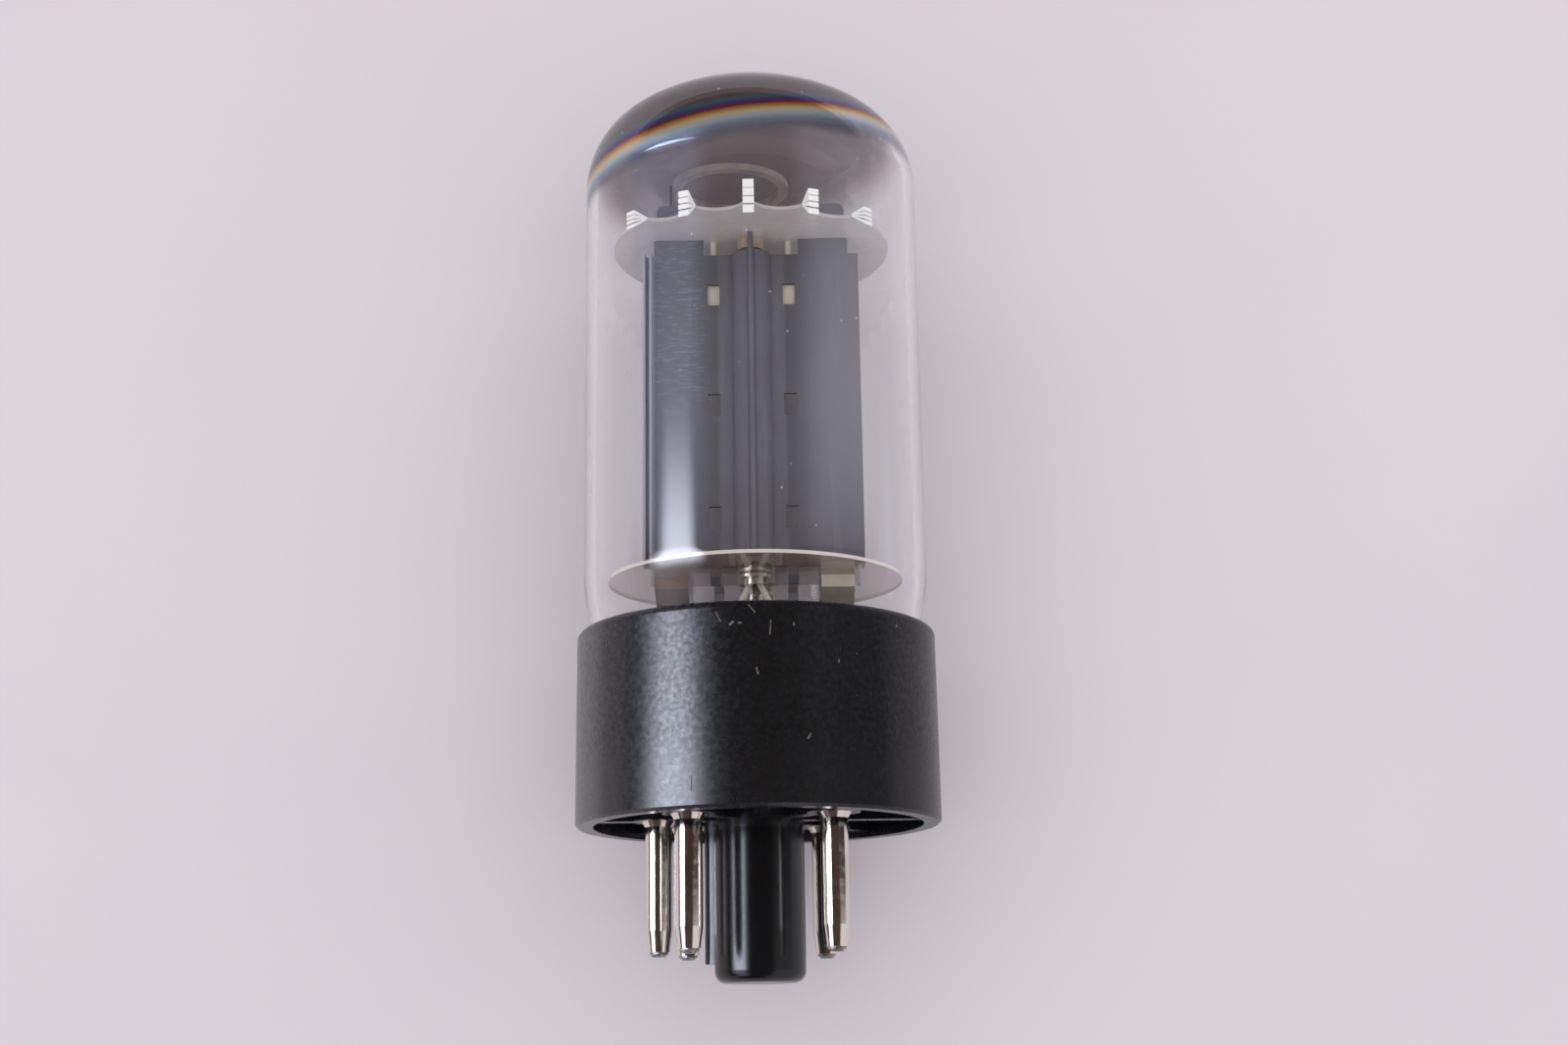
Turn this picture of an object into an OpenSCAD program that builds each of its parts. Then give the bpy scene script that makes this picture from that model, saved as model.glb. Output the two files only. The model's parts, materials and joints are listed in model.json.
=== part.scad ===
// Octal-based full-wave rectifier tube, lying on its side as it comes to rest.
// Each piece is drawn upright in the tube's own frame: z runs from the base rim to the dome,
// x across the anodes, and -y to the front. The last lines lay the tube down.

/* [Base] */
// Outer diameter of the moulded base at its lower rim
base_d = 32; // [31.5:0.1:34]
// How much narrower the base is at its upper rim
base_taper = 0.2; // [0:0.05:0.4]
// Height of the base from the lower rim to the upper rim
base_h = 17; // [15:0.5:20]
// Thickness of the skirt round the underside
skirt_wall = 1.55; // [1.2:0.05:2]
// Thickness of the wall round the glass
lip_wall = 1; // [0.8:0.05:1.2]
// Radius of the upper outer edge
base_edge_r = 0.6; // [0.3:0.1:0.8]
// Chamfer of the lower rim's outer edge
rim_chamfer = 0.25; // [0.1:0.05:0.4]
// Depth of the underside recess
recess_h = 2.2; // [1.5:0.1:2.6]
// Thickness of the base floor
floor_t = 1.3; // [1:0.1:1.6]
// How far the ribs and bosses stay above the lower rim
rib_setback = 0.5; // [0.3:0.1:0.8]
// Thickness of each radial rib
rib_t = 1.3; // [0.8:0.1:1.8]
// Diameter of the boss round each pin
boss_d = 4.6; // [4:0.1:5.2]
// Angle by which the base is turned against the anodes
base_turn = 3; // [0:1:10]

/* [Spigot] */
// Diameter of the guide spigot
spigot_d = 7.9; // [7.6:0.1:8.1]
// Length of the spigot below the lower rim
spigot_len = 13.4; // [12.5:0.1:14.5]
// Bore of the hollow spigot
spigot_bore = 5.4; // [5:0.1:5.6]
// Thickness of the spigot's closed end
spigot_end = 1.3; // [1:0.1:2]
// Radius of the spigot's outer edge
spigot_edge_r = 1; // [0.5:0.1:1.2]
// Width of the locating key
key_w = 1.9; // [1.6:0.1:2.1]
// How far the key stands out of the spigot
key_out = 1.1; // [0.8:0.1:1.2]
// How far the key stops short of the spigot's end
key_setback = 1.7; // [1:0.1:2.5]

/* [Contact pins] */
// Diameter of a contact pin
pin_d = 2.36; // [2.3:0.02:2.42]
// Diameter of the pin circle
pin_circle_d = 17.45; // [17.4:0.05:17.5]
// Length of a pin's straight shank below the lower rim
pin_shank = 8.9; // [8:0.1:9.5]
// Length of a pin's tapered tip
pin_tip = 1.8; // [1.2:0.1:2.2]
// Bore of a hollow pin
pin_bore = 1.6; // [1.2:0.1:1.6]
// Diameter of the tip at its end
pin_tip_d = 1.9; // [1.8:0.05:2]
// Diameter of the flared collar at a pin's root
pin_collar_d = 3; // [2.8:0.1:4]
// Height of a pin's staked end above the base floor
pin_stake = 0.7; // [0.5:0.1:0.8]
// How far the staked end flares out over the base floor
stake_out = 0.3; // [0.2:0.05:0.4]
// How far the solder stands out of a pin's end
solder_out = 0.4; // [0.2:0.1:0.8]

/* [Glass] */
// Outer diameter of the bulb
glass_d = 30.7; // [30:0.1:31]
// Wall of the bulb
glass_wall = 1; // [0.8:0.1:1.2]
// Thickness of the cement between the base and the bulb's foot
cement_t = 0.15; // [0.1:0.05:0.3]
// Depth of the cement's top below the upper rim of the base
cement_drop = 3; // [2:0.5:4]
// Height above the base over which the bulb widens to its full diameter
glass_flare_h = 5; // [4:0.5:7]
// Height of the crown above the lower rim
glass_top_z = 69.4; // [68:0.1:72]
// Corner radius of the dome
dome_corner_r = 8.2; // [6:0.1:10]
// Crown radius of the dome
dome_crown_r = 21.2; // [18:0.1:26]
// Corner radius of the bulb's foot
foot_corner_r = 4.4; // [3:0.1:5]
// Height of the glass bottom above the base floor
glass_lift = 1.7; // [1.6:0.1:2.5]
// Thickness of the getter film
film_t = 0.08; // [0.05:0.01:0.2]
// Height of the film's lower edge over the tube's centre
film_edge_z = 59.4; // [58:0.1:62]
// Slope of the film's lower edge
film_tilt = 7; // [0:1:12]

/* [Stem] */
// Outer diameter of the stem where it is sealed to the bulb
stem_rim_d = 16; // [14:0.1:17]
// Outer diameter of the stem tube
stem_tube_d = 10; // [9:0.1:11]
// Wall of the stem glass
stem_wall = 1; // [0.8:0.1:1.2]
// Height of the pinch's lower end
pinch_z = 9; // [8.5:0.1:10]
// Height of the pinch
pinch_h = 5; // [4:0.1:6]
// Width of the pinch
pinch_w = 14.6; // [14:0.1:17]
// Thickness of the pinch
pinch_t = 3; // [2.4:0.1:4]
// Spacing of the stem wires on top of the pinch
wire_pitch = 2.25; // [2.1:0.05:2.35]
// How far each half of the wires stands off to widen the middle gap
wire_spread = 0.75; // [0.7:0.05:0.8]
// Diameter of the exhaust tube
exhaust_d = 3.2; // [2.6:0.1:3.6]
// How far the sealed exhaust tip hangs below the lower rim
exhaust_len = 8.5; // [6:0.1:10]

/* [Micas] */
// Thickness of a mica
mica_t = 0.3; // [0.2:0.05:0.5]
// Underside of the lower mica above the lower rim
low_mica_z = 21.5; // [20.5:0.1:23]
// Diameter of the lower mica
low_mica_d = 26.4; // [25:0.1:27]
// Clear height between the two micas
cage_h = 31.1; // [30:0.1:32]
// Diameter of the upper mica at its plain sides
top_mica_d = 25.5; // [25:0.1:26]
// Diameter of the circle that the scallops reach down to
scallop_d = 23; // [22.6:0.1:24]
// Diameter over the tips of the teeth
tooth_tip_d = 28.4; // [28:0.1:28.6]
// Width of a tooth
tooth_w = 0.95; // [0.8:0.05:1.3]
// How deep a tooth is rooted in the disc
tooth_root = 0.45; // [0.3:0.05:0.6]
// How far the leaves of a tooth stand free, up to its tip
leaf_reach = 1.3; // [1.1:0.05:1.4]
// How far the leaves of the middle tooth fan out above the mica
fan_up = 1.4; // [1.3:0.1:1.6]
// How much lower the fan stands from one tooth to the next
fan_up_step = 0.55; // [0.4:0.05:0.6]
// How far the leaves of the middle tooth fan out below the mica
fan_down = 1.4; // [1.2:0.1:1.5]
// How much less it hangs down from one tooth to the next
fan_down_step = 0.2; // [0.1:0.05:0.3]
// Leaves that a tooth has split into
leaves = 4; // [2:1:4]
// Gap between two leaves at the tooth's end
leaf_gap = 0.16; // [0.1:0.02:0.2]
// Angle between two teeth
tooth_pitch = 23; // [20:0.5:24]
// Teeth on either side of the middle tooth at the front
tooth_pairs = 2; // [1:1:2]
// Teeth on either side of the middle tooth at the back
rear_tooth_pairs = 1; // [1:1:2]

/* [Anodes] */
// Distance of each anode from the tube's centre
anode_y = 4; // [3.6:0.1:4.6]
// Thickness of the anode sheet
sheet_t = 0.22; // [0.15:0.01:0.3]
// Half width of a sheet on its long side
long_half_w = 9.66; // [9.4:0.02:10]
// Half width of a sheet on its short side
short_half_w = 9.1; // [8.8:0.02:9.2]
// Depth of the bent edge flanges
flange_d = 1.2; // [0.8:0.1:1.6]
// Outer radius of the half-round bulge round the cathode
bulge_r = 1.75; // [1.6:0.05:2]
// Gap between the lower mica and the sheet's bottom edge
sheet_foot_gap = 0.6; // [0.3:0.1:1]
// Gap between the sheet's top edge and the upper mica
sheet_head_gap = 1.5; // [1:0.1:2]
// Inner edge of the raised wing from the anode's centre
wing_x = 4.3; // [4:0.1:5]
// Outer edge of the raised wing from the anode's centre
wing_end_x = 8.74; // [8:0.02:8.8]
// Inner edge of the ear that passes the upper mica
ear_x = 6.2; // [5.5:0.1:6.5]
// Outer edge of the ear
ear_end_x = 8.5; // [8:0.1:8.6]
// Height of the ear above the upper mica
ear_h = 3.1; // [2:0.1:4]
// Corner radius of the ear
ear_r = 0.7; // [0.3:0.1:0.9]
// Distance of the slots from the anode's centre
slot_x = 3.4; // [3.2:0.1:3.6]
// Width of a slot
slot_w = 1.1; // [0.8:0.05:1.2]
// Height of a slot
slot_h = 2; // [1.5:0.1:3]
// Distance from one slot to the next
slot_pitch = 10.4; // [9:0.1:11]
// Distance from the sheet's top edge to the middle of the first slot
slot_drop = 3.8; // [3:0.1:5]
// Slots in a column
slot_count = 3; // [1:1:3]
// Width of the foot that passes the lower mica
foot_w = 0.9; // [0.6:0.1:1.2]
// Height of the foot below the lower mica
foot_h = 0.8; // [0.5:0.1:1]
// Diameter of the stiffening wire on the bulge
spine_d = 0.5; // [0.4:0.05:0.8]
// Diameter of a support post
post_d = 0.6; // [0.5:0.05:0.9]
// Length of a support post below the upper mica
post_drop = 7.2; // [6.5:0.1:8]
// Length of a support post above the upper mica
post_rise = 0.9; // [0.5:0.1:1.5]
// Width of a post's flattened foot
post_foot_w = 1.5; // [1.3:0.1:1.8]
// Height of a post's flattened foot
post_foot_h = 3.4; // [3:0.1:4]

/* [Cathodes and heaters] */
// Outer diameter of the cathode sleeve
cathode_d = 1.9; // [1.7:0.05:2]
// Wall of the cathode sleeve
cathode_wall = 0.12; // [0.1:0.01:0.16]
// Length of the sleeve below the lower mica
cathode_drop = 0.9; // [0.8:0.1:1]
// Length of the sleeve above the upper mica
cathode_rise = 0.8; // [0.5:0.1:1.2]
// Outer diameter of the ceramic bush under the upper mica
bush_d = 2.4; // [2.3:0.1:3.6]
// Height of the ceramic bush
bush_h = 1.1; // [0.8:0.1:1.2]
// Outer diameter of the eyelet at the lower mica
eyelet_d = 2.9; // [2.7:0.1:3.2]
// Thickness of the eyelet's flanges
eyelet_t = 0.25; // [0.15:0.05:0.3]
// Diameter of the coated heater wire
heater_d = 0.56; // [0.4:0.02:0.6]
// Spacing of the two heater legs inside the sleeve
heater_span = 0.84; // [0.7:0.02:0.9]
// Depth of the heater's bend below the sleeve's upper end
heater_inset = 1.2; // [0.5:0.1:2]

/* [Wires and straps] */
// Diameter of a stem wire
wire_d = 0.6; // [0.5:0.05:0.7]
// Diameter of a heater bar
bar_d = 0.7; // [0.6:0.05:0.8]
// Distance of each heater bar from the tube's centre
bar_x = 2.1; // [2:0.05:2.4]
// How far a heater bar runs past the middle of each anode
bar_over = 0.6; // [0.4:0.1:0.8]
// Height of the heater bars
bar_z = 18.2; // [17.6:0.1:18.6]
// Width of an anode leg
leg_w = 2.9; // [2.4:0.1:3]
// Middle of an anode leg from the tube's centre
leg_x = 7.25; // [7.1:0.05:7.3]
// Length of an anode leg below the lower mica
leg_h = 5; // [4:0.1:5.5]
// Thickness of straps, legs and the cathode ribbon
strap_t = 0.2; // [0.15:0.01:0.25]
// Height of the cathode ribbon
ribbon_h = 0.6; // [0.4:0.1:0.7]
// Offset of the front anode's wire, inwards from the middle of its leg
leg_wire_in = 0.65; // [0.5:0.05:0.75]
// Offset of the rear anode's wire, outwards from the middle of its leg
leg_wire_out = 0.85; // [0.7:0.05:0.95]
// Length of wire that is welded to a leg
weld_h = 2; // [1.5:0.1:2.2]

/* [Ring getter] */
// Outer diameter of the getter ring
ring_d = 10.9; // [9:0.1:12]
// Width of the getter channel
ring_w = 0.9; // [0.6:0.1:1.2]
// Depth of the getter channel
ring_h = 0.6; // [0.4:0.1:0.8]
// Height of the ring above the upper mica
ring_lift = 6.1; // [5:0.1:6.5]
// Offset of the ring from the tube's centre
ring_x = -1.9; // [-2.2:0.1:-1.5]
// Width of the getter's support strip
support_w = 0.8; // [0.5:0.1:1]
// Length of the strip's clinched foot under the mica
clinch_len = 1.4; // [1:0.1:1.6]
// Length of the strip's stop on top of the mica
stop_len = 1; // [0.6:0.1:1.2]

/* [Hidden] */
$fn = 64;

base_r = base_d/2;
base_top_r = base_r - base_taper/2;
base_bore_r = base_top_r - lip_wall;
floor_z = recess_h + floor_t;
spigot_r = spigot_d/2;
// Each pin's number and its angle seen from above the dome, from the front
pin_places = [[1, -90], [2, -45], [4, 45], [6, 135], [8, -135]];
key_angle = -112.5;
pin_r = pin_d/2;
pin_circle_r = pin_circle_d/2;
pin_end_z = -pin_shank - pin_tip;
pin_top_z = floor_z + pin_stake;
collar_h = 0.7;
// Clearance between two pieces that touch
joint_gap = 0.02;
// How far a drawn shape runs into the one that it is joined to
bite = 0.2;
// How far a cut runs past the face that it starts from
past = 1;
// Share of a tooth's reach that its leaves hold together
split_share = 0.3;

glass_r = glass_d/2;
glass_foot_r = base_bore_r - cement_t;
glass_full_z = base_h + glass_flare_h;
glass_bottom_z = floor_z + glass_lift;
// The dome's corner arc and crown arc meet without a kink
crown_z = glass_top_z - dome_crown_r;
corner_x = glass_r - dome_corner_r;
corner_z = crown_z + sqrt(pow(dome_crown_r - dome_corner_r, 2) - pow(corner_x, 2));
arc_end = atan2(corner_z - crown_z, corner_x);
arc_steps = 9;
foot_corner_z = glass_bottom_z + foot_corner_r;
cement_top_z = base_h - cement_drop;
// The film is drawn down past its sloping edge, which then trims it
film_low_z = min(film_edge_z, corner_z) - glass_r*tan(film_tilt) - bite;

stem_rim_r = stem_rim_d/2;
stem_tube_r = stem_tube_d/2;
pinch_top_z = pinch_z + pinch_h;

low_mica_top_z = low_mica_z + mica_t;
top_mica_z = low_mica_top_z + cage_h;
top_mica_top_z = top_mica_z + mica_t;

sheet_z = low_mica_top_z + sheet_foot_gap;
sheet_top_z = top_mica_z - sheet_head_gap;
slot_top_z = sheet_top_z - slot_drop;
// Clearance round a piece that passes a mica
hole_gap = 0.03;
// The angle of each row of teeth, with its pairs of teeth
tooth_rows = [[0, tooth_pairs], [180, rear_tooth_pairs]];

cathode_r = cathode_d/2;
cathode_bore_r = cathode_r - cathode_wall;
heater_r = heater_d/2;
heater_x = heater_span/2;
wire_r = wire_d/2;
bar_r = bar_d/2;
// Where each stem wire leaves the top of the pinch, from left to right
pinch_xs = [for (i = [-2.5:1:2.5]) i*wire_pitch + sign(i)*wire_spread];
// How much of its spread on top of the pinch a stem wire has below it
fan_ratio = 0.33;
fan_x = exhaust_d/2 + wire_r + joint_gap*5;
fan_drop = 1.4;
lead_x = bar_x - bar_r - wire_r;
lead_top_z = low_mica_z - foot_h - strap_t;
leg_bottom_z = low_mica_z - leg_h;
leg_y = anode_y + sheet_t + joint_gap + strap_t/2;
leg_in_y = wire_r + strap_t/2 + joint_gap;
ring_z = top_mica_top_z + ring_lift;
ring_r = ring_d/2;
support_x = ring_x - ring_r - strap_t/2 - joint_gap;

// The tube lies on the upper edge of its base and on the shoulder of its bulb
edge_x = base_top_r - base_edge_r;
edge_z = base_h - base_edge_r;
edge_run = [edge_x - corner_x, edge_z - corner_z];
lie_tilt = atan2(edge_run[1], edge_run[0]) + acos((dome_corner_r - base_edge_r)/norm(edge_run));
axis_h = edge_x*cos(lie_tilt) + edge_z*sin(lie_tilt) + base_edge_r;
foot_x = spigot_r - spigot_edge_r;
foot_z = spigot_len - spigot_edge_r;
foot_y = foot_x*sin(lie_tilt) + foot_z*cos(lie_tilt) + spigot_edge_r;
head_y = crown_z*cos(lie_tilt) + dome_crown_r;

module lying() {
    translate([0, (foot_y - head_y)/2, axis_h])
        rotate([-(90 + lie_tilt), 0, 0])
            children();
}

// A point at an angle seen from above the dome: 0 is the front, and 90 is to the right
function place(angle, r) = [r*sin(angle), -r*cos(angle)];
function pin_xy(number) =
    place(pin_places[search(number, pin_places)[0]][1] + base_turn, pin_circle_r);
function arc(centre, r, from, to, steps) =
    [for (i = [0:steps]) centre + r*[cos(from + (to - from)*i/steps), sin(from + (to - from)*i/steps)]];
function unit(v) = v/norm(v);

// A round wire along a list of points, with one ring at each point
function heading(points, i) = unit(
    (i < len(points) - 1 ? unit(points[i + 1] - points[i]) : [0, 0, 0])
    + (i > 0 ? unit(points[i] - points[i - 1]) : [0, 0, 0]));
function ring_at(points, i, r, sides, side) =
    let (t = heading(points, i), u = unit(cross(side, t)), v = cross(t, u))
    [for (k = [0:sides - 1]) points[i] + r*(cos(360*k/sides)*u + sin(360*k/sides)*v)];

module wire(points, r, sides = 10, side = [0, 1, 0]) {
    rings = len(points);
    walls = [for (i = [0:rings - 2], k = [0:sides - 1])
        [i*sides + k, i*sides + (k + 1)%sides, (i + 1)*sides + (k + 1)%sides, (i + 1)*sides + k]];
    foot = [for (k = [sides - 1:-1:0]) k];
    head = [for (k = [0:sides - 1]) (rings - 1)*sides + k];
    polyhedron([for (i = [0:rings - 1]) each ring_at(points, i, r, sides, side)],
        concat([foot], walls, [head]));
}

module base_shell() {
    color("#1c1c20")
    difference() {
        union() {
            difference() {
                rotate_extrude() polygon(concat(
                    [[0, 0], [base_r - rim_chamfer, 0], [base_r, rim_chamfer]],
                    arc([base_top_r - base_edge_r, base_h - base_edge_r], base_edge_r, 0, 90, 5),
                    [[0, base_h]]));
                translate([0, 0, floor_z]) cylinder(r = base_bore_r, h = base_h);
                translate([0, 0, -past]) cylinder(r = base_r - skirt_wall, h = recess_h + past);
            }
            ribs();
            spigot();
        }
        translate([0, 0, spigot_end - spigot_len])
            cylinder(d = spigot_bore, h = spigot_len - spigot_end + floor_z + past);
        for (p = pin_places)
            translate(concat(place(p[1] + base_turn, pin_circle_r), -past))
                cylinder(r = pin_r, h = base_h);
        for (p = pin_places)
            translate(concat(place(p[1] + base_turn, pin_circle_r), rib_setback))
                cylinder(r1 = pin_collar_d/2, r2 = pin_r, h = collar_h);
    }
}

module ribs() {
    intersection() {
        translate([0, 0, rib_setback]) cylinder(r = base_r - skirt_wall/2, h = recess_h);
        union() {
            for (i = [0:7])
                rotate(45*i + base_turn)
                    translate([foot_x, -rib_t/2, 0])
                        cube([base_r, rib_t, recess_h + bite]);
            for (p = pin_places)
                translate(place(p[1] + base_turn, pin_circle_r))
                    cylinder(d = boss_d, h = recess_h + bite);
        }
    }
}

module spigot() {
    key_len = spigot_len - key_setback;
    key_round_x = spigot_r + key_out - key_w/2;
    rotate_extrude() polygon(concat(
        [[0, -spigot_len]],
        arc([foot_x, -foot_z], spigot_edge_r, -90, 0, 6),
        [[spigot_r, floor_z - bite], [0, floor_z - bite]]));
    rotate(key_angle + base_turn - 90)
        translate([0, 0, -key_len]) {
            translate([0, -key_w/2, 0]) cube([key_round_x, key_w, key_len + recess_h]);
            translate([key_round_x, 0, 0]) cylinder(d = key_w, h = key_len + recess_h);
        }
}

module base_cement() {
    color("#b9a98c")
    difference() {
        translate([0, 0, foot_corner_z]) cylinder(r = base_bore_r, h = cement_top_z - foot_corner_z);
        translate([0, 0, foot_corner_z - bite]) cylinder(r = glass_foot_r, h = base_h);
    }
}

module contact_pin(number) {
    color("#c9c2b4")
    translate(concat(pin_xy(number), 0))
        difference() {
            rotate_extrude() polygon([
                [0, pin_end_z], [pin_tip_d/2, pin_end_z], [pin_r, pin_end_z + pin_tip], [pin_r, 0],
                [pin_collar_d/2, rib_setback], [pin_r, rib_setback + collar_h],
                [pin_r, floor_z], [pin_r + stake_out, floor_z],
                [pin_r + stake_out/3, pin_top_z], [0, pin_top_z]]);
            translate([0, 0, pin_end_z - bite]) cylinder(d = pin_bore, h = pin_top_z - pin_end_z + 2*bite);
        }
}

module pin_solder() {
    color("#a8a6a2")
    for (p = pin_places)
        translate(concat(pin_xy(p[0]), pin_end_z))
            difference() {
                union() {
                    translate([0, 0, -solder_out/2]) cylinder(d = pin_bore, h = pin_tip);
                    translate([0, 0, -solder_out])
                        cylinder(d1 = 0.7*pin_bore, d2 = pin_bore, h = solder_out);
                }
                translate([0, 0, pin_tip/2]) cylinder(r = wire_r, h = pin_tip);
            }
}

// The dome's outline from its corner to the crown, moved in by a wall
function dome_outline(wall) = concat(
    arc([corner_x, corner_z], dome_corner_r - wall, 0, arc_end, arc_steps),
    arc([0, crown_z], dome_crown_r - wall, arc_end + 45/arc_steps, 90, 5));
function bulb_outline(wall) = concat(
    arc([glass_foot_r - foot_corner_r, foot_corner_z], foot_corner_r - wall, -90, 0, 6),
    [[glass_foot_r - wall, base_h], [glass_r - wall, glass_full_z]],
    dome_outline(wall));

module glass_bulb() {
    color("#dfe6e8", 0.3)
    difference() {
        rotate_extrude() polygon(concat([[0, glass_bottom_z]], bulb_outline(0)));
        rotate_extrude() polygon(concat([[0, glass_bottom_z + glass_wall]], bulb_outline(glass_wall)));
        translate([0, 0, floor_z]) cylinder(r = stem_rim_r, h = glass_lift + 2*glass_wall);
    }
}

module getter_film() {
    color("#4a3f3c")
    difference() {
        dome_space(glass_wall, film_low_z);
        dome_space(glass_wall + film_t, film_low_z - bite);
        translate([0, 0, film_edge_z]) rotate([0, -film_tilt, 0])
            translate([-glass_d, -glass_d, -glass_d]) cube([2*glass_d, 2*glass_d, glass_d]);
    }
}

module dome_space(wall, low_z) {
    rotate_extrude() polygon(concat([[0, low_z], [glass_r - wall, low_z]], dome_outline(wall)));
}

module glass_stem() {
    color("#dfe6e8", 0.3)
    difference() {
        union() {
            rotate_extrude() polygon([
                [stem_rim_r, glass_bottom_z], [stem_rim_r, glass_bottom_z + glass_wall],
                [stem_tube_r, pinch_z - stem_wall], [stem_tube_r, pinch_z + stem_wall],
                [0, pinch_z + stem_wall], [0, pinch_z], [stem_tube_r - stem_wall, pinch_z - fan_drop],
                [stem_rim_r - stem_wall, glass_bottom_z]]);
            translate([0, 0, pinch_z]) linear_extrude(pinch_h) pinch_outline();
            translate([0, 0, exhaust_d - exhaust_len])
                cylinder(d = exhaust_d, h = exhaust_len - exhaust_d + pinch_z + bite);
            translate([0, 0, -exhaust_len]) cylinder(d1 = exhaust_d/4, d2 = exhaust_d, h = exhaust_d);
        }
        for (x = pinch_xs) pinch_hole(x);
    }
}

module pinch_outline() {
    square([pinch_w - pinch_t, pinch_t], center = true);
    for (side = [-1, 1])
        translate([side*(pinch_w - pinch_t)/2, 0]) circle(d = pinch_t, $fn = 32);
}

module pinch_hole(x) {
    run = pinch_high(x) - pinch_low(x);
    translate(pinch_low(x))
        rotate([0, atan2(run[0], run[2]), 0])
            cylinder(r = wire_r + joint_gap/2, h = norm(run), $fn = 32);
}

// A stem wire fans out inside the pinch, from beside the exhaust tube to its place on top
function pinch_low(x) =
    [sign(x)*(fan_x + fan_ratio*(abs(x) - pinch_xs[3])), 0, pinch_z - fan_drop];
function pinch_high(x) = [x, 0, pinch_top_z + wire_r];

// A lead that runs from a pin's end up through the base, the stem and the pinch
module pin_lead(number, pinch_x, upper, way = []) {
    xy = pin_xy(number);
    level_z = glass_bottom_z - 2*wire_r;
    wire(concat([
            concat(xy, pin_end_z + pin_tip/2 + joint_gap),
            concat(xy, floor_z),
            concat(0.93*xy, level_z),
            concat(0.6*xy, level_z)],
        way,
        [pinch_low(pinch_x), pinch_high(pinch_x)],
        upper), wire_r, side = [0.02, 1, 0.03]);
}

// The end of a wire that is welded to an anode's leg
function leg_end(x) = [[x, 0, leg_bottom_z - wire_r], [x, 0, leg_bottom_z + weld_h]];

module anode_lead_front() {
    color("#b8b4ac") pin_lead(4, pinch_xs[4], leg_end(leg_x - leg_wire_in));
}

module anode_lead_rear() {
    color("#b8b4ac") pin_lead(6, pinch_xs[5], leg_end(leg_x + leg_wire_out));
}

module heater_lead() {
    color("#b8b4ac")
    pin_lead(2, pinch_xs[2], [[-lead_x, 0, bar_z - 2*bar_d], [-lead_x, 0, bar_z + bar_d]]);
}

// The cathode's lead goes round the back of the exhaust tube
module cathode_lead() {
    color("#b8b4ac")
    pin_lead(8, pinch_xs[3], [[lead_x, 0, bar_z - 2*bar_d], [lead_x, 0, lead_top_z]],
        way = [[fan_x, fan_x + wire_r, glass_bottom_z]]);
}

// A blind wire starts a third of the way up inside the pinch and only carries its leg
module support_wire(pinch_x, top_x) {
    low = (2*pinch_low(pinch_x) + pinch_high(pinch_x))/3;
    color("#b8b4ac")
    wire(concat([low, pinch_high(pinch_x)], leg_end(top_x)), wire_r);
}

module lower_mica() {
    color("#cfc4b4", 0.5)
    translate([0, 0, low_mica_z])
        difference() {
            cylinder(d = low_mica_d, h = mica_t, $fn = 96);
            for (side = [-1, 1]) {
                translate([0, side*anode_y, -past]) cylinder(r = cathode_r + eyelet_t, h = mica_t + 2*past);
                foot_holes(side*anode_y);
            }
        }
}

module foot_holes(y) {
    for (x = [-leg_x, leg_x])
        translate([x - leg_w/2 - hole_gap, y - sheet_t - strap_t - 2*hole_gap, -past])
            cube([leg_w + 2*hole_gap, 2*(sheet_t + strap_t + 2*hole_gap), mica_t + 2*past]);
    for (x = [-slot_x, slot_x])
        translate([x - foot_w/2 - hole_gap, y - sheet_t - hole_gap, -past])
            cube([foot_w + 2*hole_gap, 2*(sheet_t + hole_gap), mica_t + 2*past]);
}

// The scalloped outline between two teeth is an arc that ends inside both roots
module scallops() {
    root = place(tooth_pitch/2 - asin(0.8*tooth_w/top_mica_d), top_mica_d/2);
    depth = -root[1] - scallop_d/2;
    r = (pow(root[0], 2) + pow(depth, 2))/(2*depth);
    for (row = tooth_rows, i = [-row[1]:row[1] - 1])
        rotate(row[0] + (i + 0.5)*tooth_pitch)
            translate([0, -scallop_d/2 - r]) circle(r = r, $fn = 48);
}

module upper_mica() {
    color("#c9c6c2", 0.8)
    translate([0, 0, top_mica_z])
        difference() {
            union() {
                linear_extrude(mica_t) difference() {
                    circle(d = top_mica_d, $fn = 96);
                    scallops();
                }
                for (row = tooth_rows, i = [-row[1]:row[1]])
                    rotate(row[0] + i*tooth_pitch)
                        tooth(mica_t + fan_up - abs(i)*fan_up_step, abs(i)*fan_down_step - fan_down);
            }
            for (side = [-1, 1]) {
                translate([0, side*anode_y, -past]) cylinder(r = cathode_r + hole_gap, h = mica_t + 2*past);
                for (x = [-1, 1]) {
                    translate([x*slot_x, side*post_y(), -past])
                        cylinder(r = post_d/2 + hole_gap, h = mica_t + 2*past);
                    translate([x*(ear_x + ear_end_x)/2, side*anode_y, 0])
                        cube([ear_end_x - ear_x + 2*hole_gap, 2*(sheet_t + hole_gap), 3*mica_t],
                            center = true);
                }
            }
            translate([support_x - strap_t/2 - hole_gap, -support_w/2 - hole_gap, -past])
                cube([strap_t + 2*hole_gap, support_w + 2*hole_gap, mica_t + 2*past]);
        }
}

// A tooth is drawn from the side, rooted in the disc, and its leaves fan out from low to high
module tooth(high, low) {
    tip_x = tooth_tip_d/2;
    part_x = tip_x - leaf_reach;
    root_x = top_mica_d/2 - tooth_root;
    translate([tooth_w/2, 0, 0])
        rotate([90, 0, -90]) linear_extrude(tooth_w)
            polygon([
                [root_x, 0], [part_x, 0],
                for (k = [0:leaves - 1])
                    each leaf_end(k, low, high, part_x, tip_x),
                [part_x, mica_t], [root_x, mica_t]]);
}

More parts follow.
